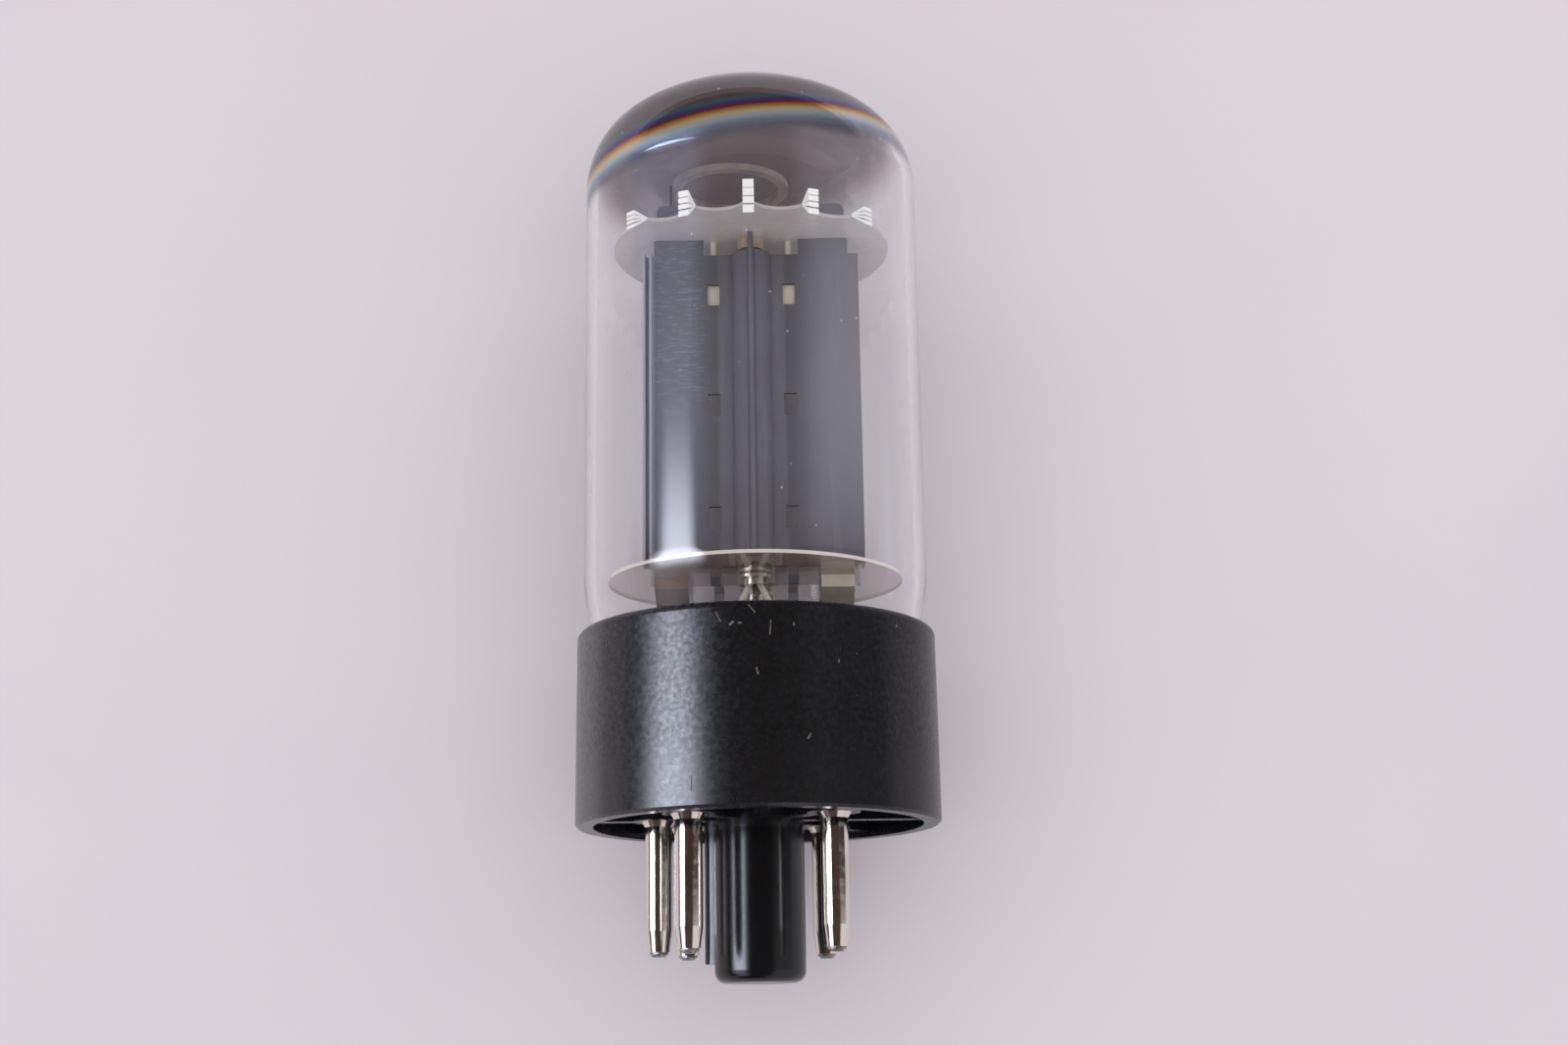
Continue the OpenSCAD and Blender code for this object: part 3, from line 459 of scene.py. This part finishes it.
# %% [markdown]
# The base is worn unevenly: it gleams more near its rim and at its left, and less at its right,
# and the spigot below the rim is smoother. A painted map could hold that, but a few soft steps
# in millimetres along z and x stay sharp at any size. The gleam goes to the specular level,
# which the export doesn't carry over, so an exported base gleams evenly.

# %% Wear the base down
RIM_Z, WORN_Z, LEFT_X, RIGHT_X = (-0.5, -0.2), (8.0, 3.0), (-12.3, -14.3), (2.0, 8.0)
WORN_SHARE, POLISH, DULL = 0.6, 1.3, -0.55
GLEAM_LEAST, GLEAM_MORE = 0.41, 0.42
SPIGOT_ROUGH = 0.75
moulded = black.node_tree
on_base = tube_axes(black)
above_rim = band(moulded, on_base["Z"], *RIM_Z)
mottle = math_node(moulded, "MULTIPLY", wear(black, haze, Scale=2.4, Start=0.28, Full=0.75), above_rim)
worn_smooth = math_node(moulded, "MULTIPLY", band(moulded, on_base["Z"], *WORN_Z), WORN_SHARE)
mottle = math_node(moulded, "MAXIMUM", mottle, math_node(moulded, "MULTIPLY", worn_smooth, above_rim))
gleam = math_node(moulded, "MULTIPLY_ADD", mottle, GLEAM_MORE, GLEAM_LEAST)
polished = math_node(moulded, "MULTIPLY_ADD", band(moulded, on_base["X"], *LEFT_X), POLISH, 1.0)
dulled = math_node(moulded, "MULTIPLY_ADD", band(moulded, on_base["X"], *RIGHT_X), DULL, 1.0)
gleam = math_node(moulded, "MULTIPLY", gleam, math_node(moulded, "MULTIPLY", polished, dulled))
moulded.links.new(gleam, shader_of(black).inputs["Specular IOR Level"])
satin = shader_of(black).inputs["Roughness"]
calmer = math_node(moulded, "MULTIPLY_ADD", above_rim, 1 - SPIGOT_ROUGH, SPIGOT_ROUGH)
moulded.links.new(math_node(moulded, "MULTIPLY", satin.links[0].from_socket, calmer), satin)
print("base nodes with wear:", len(moulded.nodes))

# %% [markdown]
# Pins are nickel over brass. A soft brown tarnish and fine draw lines keep them from looking like chrome.
# The metals inside the bulb are cloudy, in shades from pale posts to a brown leg, so each is a finish of
# its own. The getter ring and the front right leg are painted paler than their metal, as painted
# highlight. Solder fills the tips of the pins.

# %% Finish the metals
nickel = start("bright nickel plating", "#e9e2d8", 0.12, 1.0)
tint(nickel, wear(nickel, scratches, Scale=1.2, Stretch=0.06, Start=0.56), "#b8a593", 0.45)
roughen(nickel, wear(nickel, haze, Scale=1.5), 0.08, 0.17)

inner_nickel = clouded(
    "bright nickel", "#d3ccc2", "#a99c90", share=0.5, scale=0.5, rough=0.28, metallic=0.7)
roughen(inner_nickel, wear(inner_nickel, haze, Scale=1.0), 0.22, 0.34)
dull_nickel = clouded(
    "dull nickel", "#6f6663", "#544c4b", share=0.6, scale=0.6, rough=0.34, metallic=0.7)
# Painted highlight: the getter ring is painted paler than its nickel.
ring_nickel_painted_paler = clouded(
    "fired nickel painted paler", "#b9b1af", "#958c89", share=0.6, scale=0.6, rough=0.4, metallic=0.3)
brown_nickel = clouded("brown nickel", "#7d6150", "#6b5548", share=0.6, scale=0.6, rough=0.6)
gloss(brown_nickel, FAINT_GLOSS)

solder = clouded(
    "tin solder", "#a9a7a4", "#6f6a64", share=0.7, scale=3.0, rough=0.42, metallic=1.0, full=0.65)
emboss(solder, wear(solder, haze, Scale=3.0, Start=0.3), 0.04)
pale_nickel = clouded(
    "pale nickel", "#e6dccf", "#cdbfb0", share=0.6, scale=0.5, rough=0.4, metallic=0.3)
print("metals:", [mat.name for mat in (nickel, inner_nickel, solder)])

# %% [markdown]
# The anodes are nickel with a baked carbon coat, slate grey and satin, with the fine upright
# lines of rolled sheet and a few bright scratches. A metal shader would look too bright, since
# the coat hides the metal, so it is a matt colour with almost no gloss.

# %% Finish the anodes
slate = start("carbonised nickel", "#66646d", 0.6)
gloss(slate, FAINT_GLOSS)
tint(slate, wear(slate, haze, Scale=0.15, Start=0.35, Full=0.75), "#6e6d77", 0.7)
tint(slate, wear(slate, scratches, Scale=1.5, Stretch=0.05, Start=0.6), "#76757d", 0.3)
tint(slate, wear(slate, scratches, Scale=2.0, Stretch=9.0, Start=0.72), "#b4b8bf", 0.35)
print("anode nodes:", len(slate.node_tree.nodes))

# %% [markdown]
# The coat isn't even: the upper left wing is rubbed. The rest is painted light and shade: a painted
# highlight along the left edge, a painted reflection on the right wing higher up, and painted shade on
# both sides of the bulge. Soft steps in x and z set each place. The rear anode's inner sheet is seen
# through slots, and it is painted lighter against the shade it lies in.

# %% Rub the anodes and paint their light and shade
LEFT_WING_X, UPPER_Z = (-3.4, -5.0), (34, 40)
SHADE_OUTER_X, SHADE_INNER_X = (6.4, 4.2), (2.8, 3.2)
RIGHT_REFLECTION_X, RIGHT_REFLECTION_Z, LEFT_EDGE_HIGHLIGHT_X = (5.6, 7.2), (26, 34), (-8.6, -8.9)
etched = slate.node_tree
on_anode = tube_axes(slate)
left_wing = band(etched, on_anode["X"], *LEFT_WING_X)
upper_left = math_node(etched, "MULTIPLY", band(etched, on_anode["Z"], *UPPER_Z), left_wing)
rub_lines = wear(slate, scratches, Scale=1.3, Stretch=6.0, Start=0.55)
tint(slate, math_node(etched, "MULTIPLY", rub_lines, upper_left), "#a2a9b8", 0.24)
off_middle = math_node(etched, "ABSOLUTE", on_anode["X"])
# Painted shade: the sheet is darker on both sides of the bulge.
shade_ends = band(etched, off_middle, *SHADE_OUTER_X)
painted_shade = math_node(etched, "MULTIPLY", shade_ends, band(etched, off_middle, *SHADE_INNER_X))
tint(slate, painted_shade, "#45434b", 0.4)
# Painted reflection: the right wing is paler higher up.
right_wing = band(etched, on_anode["X"], *RIGHT_REFLECTION_X)
painted_right_reflection = math_node(etched, "MULTIPLY", right_wing, band(etched, on_anode["Z"], *RIGHT_REFLECTION_Z))
tint(slate, painted_right_reflection, "#8c8a95", 0.22)
# Painted highlight: a pale line along the anode's left edge.
tint(slate, band(etched, on_anode["X"], *LEFT_EDGE_HIGHLIGHT_X), "#a9a7b2", 0.7)
roughen(slate, wear(slate, haze, Scale=1.2, Start=0.35), 0.52, 0.66)
emboss(slate, wear(slate, haze, Scale=7.0, Start=0.3), 0.005)
# Painted light: the rear inner sheet takes a lighter copy of the coat, against the shade it lies in.
slate_painted_lighter = clouded(
    "carbonised nickel painted lighter", "#b4b2bc", "#a5a4ae", share=0.7, scale=0.15, rough=0.6,
    begin=0.35, full=0.75)
print("anode nodes with wear:", len(etched.nodes))

# %% [markdown]
# Mica splits into leaves. The upper sheet is cloudy and lets some of what is behind it through,
# but its teeth were bent until their leaves parted, and they are white. A glass shader would
# bend what is seen, and mica is too thin for that, so its share of light is set by alpha.

# %% Finish the upper mica
TOOTH_R, CLOUDY_ALPHA = (12.80, 12.92), 0.6
cloudy_mica = clouded("cloudy mica", "#cfc8c9", "#d8d2d3", share=0.8, scale=0.7, rough=0.5)
tint(cloudy_mica, wear(cloudy_mica, haze, Scale=4.0, Start=0.70, Full=0.76), "#6a6260", 0.6)
leaves = cloudy_mica.node_tree
tooth = band(leaves, from_axis(cloudy_mica), *TOOTH_R)
tint(cloudy_mica, tooth, "#f7f5f5")
leaves.links.new(spread(leaves, tooth, CLOUDY_ALPHA, 1.0), shader_of(cloudy_mica).inputs["Alpha"])
emboss(cloudy_mica, wear(cloudy_mica, haze, Scale=2.5, Start=0.35, Full=0.65), 0.02)
print("white from", TOOTH_R[0], "mm")

# %% [markdown]
# The lower mica is clear and glossy. In the photograph it looks brown, so it takes a thin brown colour,
# and a clear coat gives it its gloss. Its cut edge is a painted highlight, paler and less clear.

# %% Finish the lower mica
EDGE_HIGHLIGHT_R, CLEAR_ALPHA, EDGE_MORE_ALPHA = (13.08, 13.16), 0.4, 0.45
clear_mica = clouded("clear mica", "#b8957c", "#c6a58d", share=0.8, scale=0.3, rough=0.06)
sheer = clear_mica.node_tree
# Painted highlight: the rim of the lower mica is paler and less clear.
edge_highlight = band(sheer, from_axis(clear_mica), *EDGE_HIGHLIGHT_R)
tint(clear_mica, edge_highlight, "#e4dcd6")
thickness = math_node(sheer, "MULTIPLY_ADD", edge_highlight, EDGE_MORE_ALPHA, CLEAR_ALPHA)
sheer.links.new(thickness, shader_of(clear_mica).inputs["Alpha"])
shader_of(clear_mica).inputs["Coat Weight"].default_value = 1.0
print("paler from", EDGE_HIGHLIGHT_R[0], "mm")

# %% [markdown]
# The last pale and brown pieces are ceramics: the heaters' coating, the bushes and the base
# cement. All are matt and uneven, so colour and clouds are all that they need.

# %% Finish the ceramics
heater_white = clouded("heater coating", "#e6e2da", "#cfc9be", share=0.8, scale=4.0, rough=0.8)
brown_ceramic = clouded("brown ceramic", "#ab9a8b", "#937f6e", share=0.8, scale=1.5, rough=0.7)
cement = clouded("base cement", "#b09c7c", "#8f7c60", share=0.8, scale=3.0, rough=0.85)
print("ceramics:", [mat.name for mat in (heater_white, brown_ceramic, cement)])

# %% [markdown]
# Glass bends light, but a path tracer would then shade all that is inside. So for shadow rays
# and for light that bounces off matt things, the glass is mixed with a transparent shader.
# Near the base the bulb's gloss is turned down, or the window would lie over the left leg.

# %% Finish the glass
GLASS_IOR, CLEAR_SHARE = 1.48, 0.985
NECK_Z, NECK_GLOSS = (20.2, 21.6), 0.04


def glass(name, color, rough):
    """Glass that casts no shadow."""
    mat = start(name, color, rough)
    tree, shader = mat.node_tree, shader_of(mat)
    shader.inputs["Transmission Weight"].default_value = 1.0
    shader.inputs["IOR"].default_value = GLASS_IOR
    straight = add(tree, "ShaderNodeBsdfTransparent")
    straight.inputs["Color"].default_value = (CLEAR_SHARE, CLEAR_SHARE, CLEAR_SHARE, 1)
    light = add(tree, "ShaderNodeLightPath").outputs
    passed = math_node(tree, "MAXIMUM", light["Is Shadow Ray"], light["Is Diffuse Ray"])
    mix = add(tree, "ShaderNodeMixShader")
    tree.links.new(passed, mix.inputs["Fac"])
    tree.links.new(shader.outputs["BSDF"], mix.inputs[1])
    tree.links.new(straight.outputs["BSDF"], mix.inputs[2])
    tree.links.new(mix.outputs["Shader"], tree.nodes["Material Output"].inputs["Surface"])
    return mat


bulb_glass = glass("bulb glass", "#ffffff", 0.0)
roughen(bulb_glass, wear(bulb_glass, haze, Scale=0.6, Start=0.5, Full=0.8), 0.0, 0.03)
blown = bulb_glass.node_tree
past_neck = band(blown, tube_axes(bulb_glass)["Z"], *NECK_Z)
shine = math_node(blown, "MULTIPLY_ADD", past_neck, 1 - NECK_GLOSS, NECK_GLOSS)
blown.links.new(shine, shader_of(bulb_glass).inputs["Specular Tint"])
stem_glass = glass("stem glass", "#f4f6f4", 0.02)
roughen(stem_glass, wear(stem_glass, haze, Scale=1.0, Full=0.8), 0.0, 0.06)
print("glass:", bulb_glass.name, stem_glass.name)

# %% [markdown]
# The getter film is a mirror of barium on the inside of the dome. Where it thins out at its
# sloping edge, light is split into bands. A thin-film shader could compute them, but a colour
# ramp over the distance from the edge is easier to match: slate, pale, orange, red, violet,
# teal, and then a dark brown that stays.

# %% Colour the getter film
FILM_EDGE_Z, FILM_FADE, FILM_SLOPE = 58.2, 7.2, math.radians(7)
FILM_UP = Vector((-math.sin(FILM_SLOPE), 0, math.cos(FILM_SLOPE)))
film = start("getter mirror", "#5a5053", 0.16, 0.5)
mirror = film.node_tree
above = add(mirror, "ShaderNodeVectorMath", operation="DOT_PRODUCT")
above.inputs[1].default_value = FILM_UP
mirror.links.new(tube_mm(film), above.inputs[0])
from_edge = add(mirror, "ShaderNodeMapRange")
from_edge.inputs["From Min"].default_value = FILM_EDGE_Z * FILM_UP.z
from_edge.inputs["From Max"].default_value = FILM_EDGE_Z * FILM_UP.z + FILM_FADE
mirror.links.new(above.outputs["Value"], from_edge.inputs["Value"])
bands = add(mirror, "ShaderNodeValToRGB")
stops = [
    (0.00, "#9a949c"), (0.09, "#77707a"), (0.17, "#6c7080"), (0.25, "#7f8b9a"), (0.32, "#a5b2bd"),
    (0.38, "#c2b892"), (0.43, "#b97f44"), (0.48, "#6e2c24"), (0.53, "#443b78"), (0.58, "#48606a"),
    (0.64, "#594f4c"), (0.83, "#4b4243"),
]
while len(bands.color_ramp.elements) < len(stops):
    bands.color_ramp.elements.new(0.5)
for element, (at, code) in zip(bands.color_ramp.elements, stops):
    element.position = at
    element.color = rgb(code)
mirror.links.new(from_edge.outputs["Result"], bands.inputs["Fac"])
print("colour stops:", len(stops))

# %% [markdown]
# Seen from outside, the film shows its bands and ends soon. Seen from within, across the bulb,
# it is a plain grey mirror that fades out over a wide strip. A face is seen from within where
# its normal points back towards the middle of the bulb, and a mask chooses between the two.

# %% Tell the film's two sides apart
MIDDLE_Z = 50
SHARP_FADE, SOFT_FADE, SOFT_SHARE = (0.0, 0.36), (0.0, 0.9), 0.85
spot = add(mirror, "ShaderNodeTexCoord")
outward = add(mirror, "ShaderNodeVectorMath", operation="SUBTRACT")
outward.inputs[1].default_value = lay_down(0, 0, MIDDLE_Z)
facing = add(mirror, "ShaderNodeVectorMath", operation="DOT_PRODUCT")
mirror.links.new(spot.outputs["Object"], outward.inputs[0])
mirror.links.new(outward.outputs["Vector"], facing.inputs[0])
mirror.links.new(spot.outputs["Normal"], facing.inputs[1])
within = math_node(mirror, "LESS_THAN", facing.outputs["Value"], 0.0)
film_color = blend(mirror, within, bands.outputs["Color"], rgb("#aea3a7"))
mirror.links.new(film_color, shader_of(film).inputs["Base Color"])
sharp = band(mirror, from_edge.outputs["Result"], *SHARP_FADE)
soft = math_node(mirror, "MULTIPLY", band(mirror, from_edge.outputs["Result"], *SOFT_FADE), SOFT_SHARE)
density = add(mirror, "ShaderNodeMix", data_type="FLOAT")
for socket_name, mask in (("Factor", within), ("A", sharp), ("B", soft)):
    mirror.links.new(mask, density.inputs[socket_name])
mirror.links.new(density.outputs["Result"], shader_of(film).inputs["Alpha"])
roughen(film, wear(film, haze, Scale=0.3), 0.06, 0.16)
print("film nodes:", len(mirror.nodes))

# %% [markdown]
# The solids could be finished one by one, but the record already gives each a slot. So each
# takes the finish of its slot, and a few take a shade of their own. Their meshes stay as they are.

# %% Dress the solids
finishes = {
    "black_phenolic": black, "base_cement": cement, "pin_plating": nickel, "solder": solder,
    "bulb_glass": bulb_glass, "stem_glass": stem_glass, "getter_mirror": film, "mica": cloudy_mica,
    "clear_mica": clear_mica, "carbonised_nickel": slate, "bright_nickel": inner_nickel,
    "heater_coating": heater_white, "brown_ceramic": brown_ceramic,
}
# The front right leg takes the pale nickel as painted highlight, so that it shows paler than its metal.
own_finish = {
    "getter_ring": ring_nickel_painted_paler, "getter_support": dull_nickel, "front_left_leg": brown_nickel,
    "front_posts": pale_nickel, "rear_posts": pale_nickel, "front_right_leg": pale_nickel,
    "rear_anode_inner_sheet": slate_painted_lighter,
}
slots = {part["node"]: part["material_slot"] for part in frame["record"]["subparts"]}
for name, node in frame["nodes"].items():
    node.data.materials.clear()
    node.data.materials.append(own_finish.get(name, finishes[slots[name]]))
print("dressed:", len(slots))

# %% [markdown]
# Blown glass has no facets, and any facet would show as a bent reflection. Smooth shading can't
# hide them, because a node's triangles are loose. So the bulb and the film are turned again
# here from the source's own outline, in many more steps, and stand for their nodes. Both share
# one outline, so the film never cuts through the glass.

# %% Draw the outline of the bulb
GLASS_R, CORNER_R, CROWN_R = 15.35, 8.2, 21.2
FOOT_R, FOOT_CORNER_R, FOOT_Z, BASE_H, FULL_Z = 14.75, 4.4, 5.2, 17.0, 22.0
STEM_RIM_R = 8.0
ARC_STEPS, FOOT_STEPS, FLARE_STEPS = 24, 12, 16
crown_z = TOP_Z - CROWN_R
corner_x = GLASS_R - CORNER_R
corner_z = crown_z + math.sqrt((CROWN_R - CORNER_R) ** 2 - corner_x ** 2)
meeting = math.atan2(corner_z - crown_z, corner_x)


def arc(x, z, r, start_at, end_at, steps):
    turns = [start_at + (end_at - start_at) * i / steps for i in range(steps + 1)]
    return [(x + r * math.cos(a), z + r * math.sin(a)) for a in turns]


def dome(wall):
    """The outline from the bulb's side up to the crown, at a depth in the wall."""
    crown = arc(0, crown_z, CROWN_R - wall, meeting, math.pi / 2, ARC_STEPS)[1:-1]
    corner = arc(corner_x, corner_z, CORNER_R - wall, 0, meeting, ARC_STEPS)
    return corner + crown + [(0, TOP_Z - wall)]


def flank(wall):
    """The outline from the stem's rim round the foot and up the flare, at a depth in the wall."""
    foot_z = FOOT_Z + FOOT_CORNER_R
    foot = arc(
        FOOT_R - FOOT_CORNER_R, foot_z, FOOT_CORNER_R - wall, -math.pi / 2, 0, FOOT_STEPS)
    flare = []
    for i in range(FLARE_STEPS + 1):
        s = i / FLARE_STEPS
        swell = s * s * (3 - 2 * s)
        flare.append((FOOT_R + (GLASS_R - FOOT_R) * swell - wall, BASE_H + (FULL_Z - BASE_H) * s))
    return [(STEM_RIM_R, FOOT_Z + wall)] + foot + flare


print("outline points:", len(flank(0) + dome(0)))

# %% [markdown]
# A Screw modifier could turn an outline too. Here the rings are made directly, so that the faces
# at the crown are triangles round one single point.

# %% Turn an outline into a mesh
ON_AXIS, FINE_TURN, COARSE_TURN = 1e-6, 192, 64


def round_axis(r, angle, z):
    """A place at a distance from the tube's axis, turned from the front."""
    return lay_down(r * math.sin(angle), -r * math.cos(angle), z)


def turned(outline, around=FINE_TURN, closed=True):
    """An outline of (radius, height) points, turned round the tube's axis."""
    bm = bmesh.new()
    rings = []
    for r, z in outline:
        count = 1 if r < ON_AXIS else around
        rings.append([bm.verts.new(round_axis(r, math.tau * i / around, z)) for i in range(count)])
    for a, b in zip(rings, rings[1:] + (rings[:1] if closed else [])):
        for i in range(around):
            corners = [a[i % len(a)], a[(i + 1) % len(a)], b[(i + 1) % len(b)], b[i % len(b)]]
            corners = list(dict.fromkeys(corners))
            if len(corners) > 2:
                bm.faces.new(corners)
    bmesh.ops.recalc_face_normals(bm, faces=bm.faces)
    return bm


def finished(name, bm, finish, smooth=True):
    """Makes a piece of the mesh, with one finish."""
    mesh = bpy.data.meshes.new(name)
    bm.to_mesh(mesh)
    bm.free()
    for face in mesh.polygons:
        face.use_smooth = smooth
    mesh.materials.append(finish)
    piece = bpy.data.objects.new(name, mesh)
    scene.collection.objects.link(piece)
    return piece


print("faces round an outline:", FINE_TURN)

# %% [markdown]
# The bulb is a closed shell with a real wall: up the outside, over the crown and down again
# inside. A single skin would be quicker, but it bends light as a solid lump of glass does.

# %% Blow the bulb
GLASS_WALL = 1
both_walls = flank(0) + dome(0) + list(reversed(flank(GLASS_WALL) + dome(GLASS_WALL)))
blown_bulb = finished("blown_bulb", turned(both_walls), bulb_glass)
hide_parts("glass_bulb")
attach(blown_bulb, "root")
print("bulb faces:", len(blown_bulb.data.polygons))

# %% [markdown]
# The film is a thin shell that lies just short of the glass's inner face, so that the two never
# share a face. It could be cut by a boolean, but one slanting plane does it, and the open rim
# is closed by bridging its two loops of edges.

# %% Cut the film along its sloping edge
LOW_Z = 54.0
FILM_OUT, FILM_IN = 0.93, 0.98
film_outside = [(GLASS_R - FILM_OUT, LOW_Z)] + dome(FILM_OUT)
film_inside = list(reversed(dome(FILM_IN))) + [(GLASS_R - FILM_IN, LOW_Z)]
shell = turned(film_outside + film_inside)
cut = bmesh.ops.bisect_plane(
    shell, geom=shell.verts[:] + shell.edges[:] + shell.faces[:],
    plane_co=lay_down(0, 0, FILM_EDGE_Z), plane_no=TUBE_TURN @ FILM_UP, clear_inner=True)
rim = [item for item in cut["geom_cut"] if isinstance(item, bmesh.types.BMEdge)]
bmesh.ops.bridge_loops(shell, edges=rim)
bmesh.ops.recalc_face_normals(shell, faces=shell.faces)
film_shell = finished("film_shell", shell, film)
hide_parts("getter_film")
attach(film_shell, "root")
print("film faces:", len(film_shell.data.polygons))

# %% [markdown]
# Dust sits on the glass, and pale crumbs cling to the base. Placing them one by one would take
# long, so Geometry Nodes strew both: one tree scatters flat flecks over a surface, and its
# named inputs set how many and how large.

# %% Build the scatter tree
LEAST_FLECK, MOST_FLECK = (0.3, 0.3, 0.08), (1.4, 0.7, 0.2)
flecks = bpy.data.node_groups.new("strewn_flecks", "GeometryNodeTree")
for label, kind in (
        ("Surface", "NodeSocketGeometry"), ("Density", "NodeSocketFloat"),
        ("Fleck Size", "NodeSocketFloat"), ("Seed", "NodeSocketInt"),
        ("Finish", "NodeSocketMaterial")):
    flecks.interface.new_socket(label, in_out="INPUT", socket_type=kind)
flecks.interface.new_socket("Flecks", in_out="OUTPUT", socket_type="NodeSocketGeometry")
fleck_given = add(flecks, "NodeGroupInput").outputs
fleck_out = add(flecks, "NodeGroupOutput").inputs
strew = add(flecks, "GeometryNodeDistributePointsOnFaces")
crumb = add(flecks, "GeometryNodeMeshIcoSphere")
crumb.inputs["Subdivisions"].default_value = 1
crumb.inputs["Radius"].default_value = 1.0
vary = add(flecks, "FunctionNodeRandomValue", data_type="FLOAT_VECTOR")
vary.inputs["Min"].default_value = LEAST_FLECK
vary.inputs["Max"].default_value = MOST_FLECK
grow = add(flecks, "ShaderNodeVectorMath", operation="SCALE")
put = add(flecks, "GeometryNodeInstanceOnPoints")
real = add(flecks, "GeometryNodeRealizeInstances")
paint = add(flecks, "GeometryNodeSetMaterial")
for output, target in (
        (fleck_given["Surface"], strew.inputs["Mesh"]),
        (fleck_given["Density"], strew.inputs["Density"]),
        (fleck_given["Seed"], strew.inputs["Seed"]),
        (strew.outputs["Points"], put.inputs["Points"]),
        (strew.outputs["Rotation"], put.inputs["Rotation"]),
        (crumb.outputs["Mesh"], put.inputs["Instance"]),
        (fleck_given["Seed"], vary.inputs["Seed"]),
        (vary.outputs["Value"], grow.inputs[0]),
        (fleck_given["Fleck Size"], grow.inputs["Scale"]),
        (grow.outputs["Vector"], put.inputs["Scale"]),
        (put.outputs["Instances"], real.inputs["Geometry"]),
        (real.outputs["Geometry"], paint.inputs["Geometry"]),
        (fleck_given["Finish"], paint.inputs["Material"]),
        (paint.outputs["Geometry"], fleck_out["Flecks"])):
    flecks.links.new(output, target)
print("scatter nodes:", len(flecks.nodes))

# %% [markdown]
# The tree runs on a bare copy of the wall, which is thrown away, and its result is kept as a
# plain mesh.

# %% Strew dust and crumbs
def strewn(name, outline, finish, slot, **inputs):
    """Flecks on the surface that an open outline sweeps out."""
    bare = finished(name + "_surface", turned(outline, around=COARSE_TURN, closed=False), finish)
    modifier = bare.modifiers.new("flecks", "NODES")
    modifier.node_group = flecks
    names = {item.name: item.identifier for item in flecks.interface.items_tree if item.in_out == "INPUT"}
    for label, value in dict(inputs, Finish=finish).items():
        modifier[names[label]] = value
    bpy.context.view_layer.update()
    evaluated = bare.evaluated_get(bpy.context.evaluated_depsgraph_get())
    mesh = bpy.data.meshes.new_from_object(evaluated)
    bpy.data.objects.remove(bare)
    piece = bpy.data.objects.new(name, mesh)
    scene.collection.objects.link(piece)
    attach(piece, "root")
    print(name, "faces:", len(mesh.polygons))


dust_white = clouded("dust", "#e9e6e4", "#cdbf9c", share=0.6, scale=3.0, rough=0.9)
crumb_beige = clouded("crumbs", "#9b8a6c", "#6f6555", share=0.7, scale=3.0, rough=0.9)
dusty = [(GLASS_R, 23.0)] + dome(0)
crumby = [(15.97, 1.0), (15.91, 16.2)]
strewn("glass_dust", dusty, dust_white, "bulb_glass",
       **{"Density": 2.0e4, "Fleck Size": 0.10 * MM, "Seed": 5})
strewn("base_crumbs", crumby, crumb_beige, "black_phenolic",
       **{"Density": 3.0e4, "Fleck Size": 0.13 * MM, "Seed": 2})

# %% [markdown]
# A few scuffs on the base are long enough to be seen one by one, so a scatter wouldn't do. Each
# is a thin flake on the wall, given by its turn round the axis and its slant, in degrees, and
# by its height, its length and its width, in millimetres.

# %% Lay the scuffs
SCUFF_SUNK, SCUFF_T, BASE_R, BASE_TOP_R = -0.01, 0.012, 15.98, 15.93
scuff_finish = clouded("scuffs", "#6c665c", "#504b42", share=0.8, scale=4.0, rough=0.8)
gloss(scuff_finish, FAINT_GLOSS)
flakes = bmesh.new()
for turn, z, length, width, slant in (
        (-15.5, 14.3, 1.3, 0.10, 8), (-10.5, 15.6, 1.0, 0.12, -25), (-6.5, 15.0, 0.5, 0.20, 50),
        (-4.0, 15.0, 0.3, 0.14, 80), (-0.5, 16.2, 0.9, 0.10, -40), (5.0, 14.6, 1.2, 0.10, 5),
        (1.0, 11.0, 0.6, 0.14, -15), (12.0, 14.9, 0.3, 0.14, 0), (-19.0, 1.9, 1.4, 0.10, 4),
        (11.5, 1.6, 1.6, 0.16, -80), (16.0, 5.6, 0.4, 0.16, 35), (26.0, 12.0, 0.3, 0.14, 10)):
    lean, upright = math.sin(math.radians(slant)), math.cos(math.radians(slant))
    corners = []
    for lift in (SCUFF_SUNK, SCUFF_T):
        for a, b in ((-1, -1), (1, -1), (1, 1), (-1, 1)):
            sideways = a * width / 2 * upright + b * length / 2 * lean
            rise = z - a * width / 2 * lean + b * length / 2 * upright
            r = BASE_R + (BASE_TOP_R - BASE_R) * rise / BASE_H + lift
            corners.append(flakes.verts.new(round_axis(r, math.radians(turn) + sideways / r, rise)))
    under, over = corners[:4], corners[4:]
    flakes.faces.new(under[::-1])
    flakes.faces.new(over)
    for i in range(4):
        flakes.faces.new((under[i], under[(i + 1) % 4], over[(i + 1) % 4], over[i]))
bmesh.ops.recalc_face_normals(flakes, faces=flakes.faces)
scuffs = finished("base_scuffs", flakes, scuff_finish, smooth=False)
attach(scuffs, "root")
print("scuff faces:", len(scuffs.data.polygons))
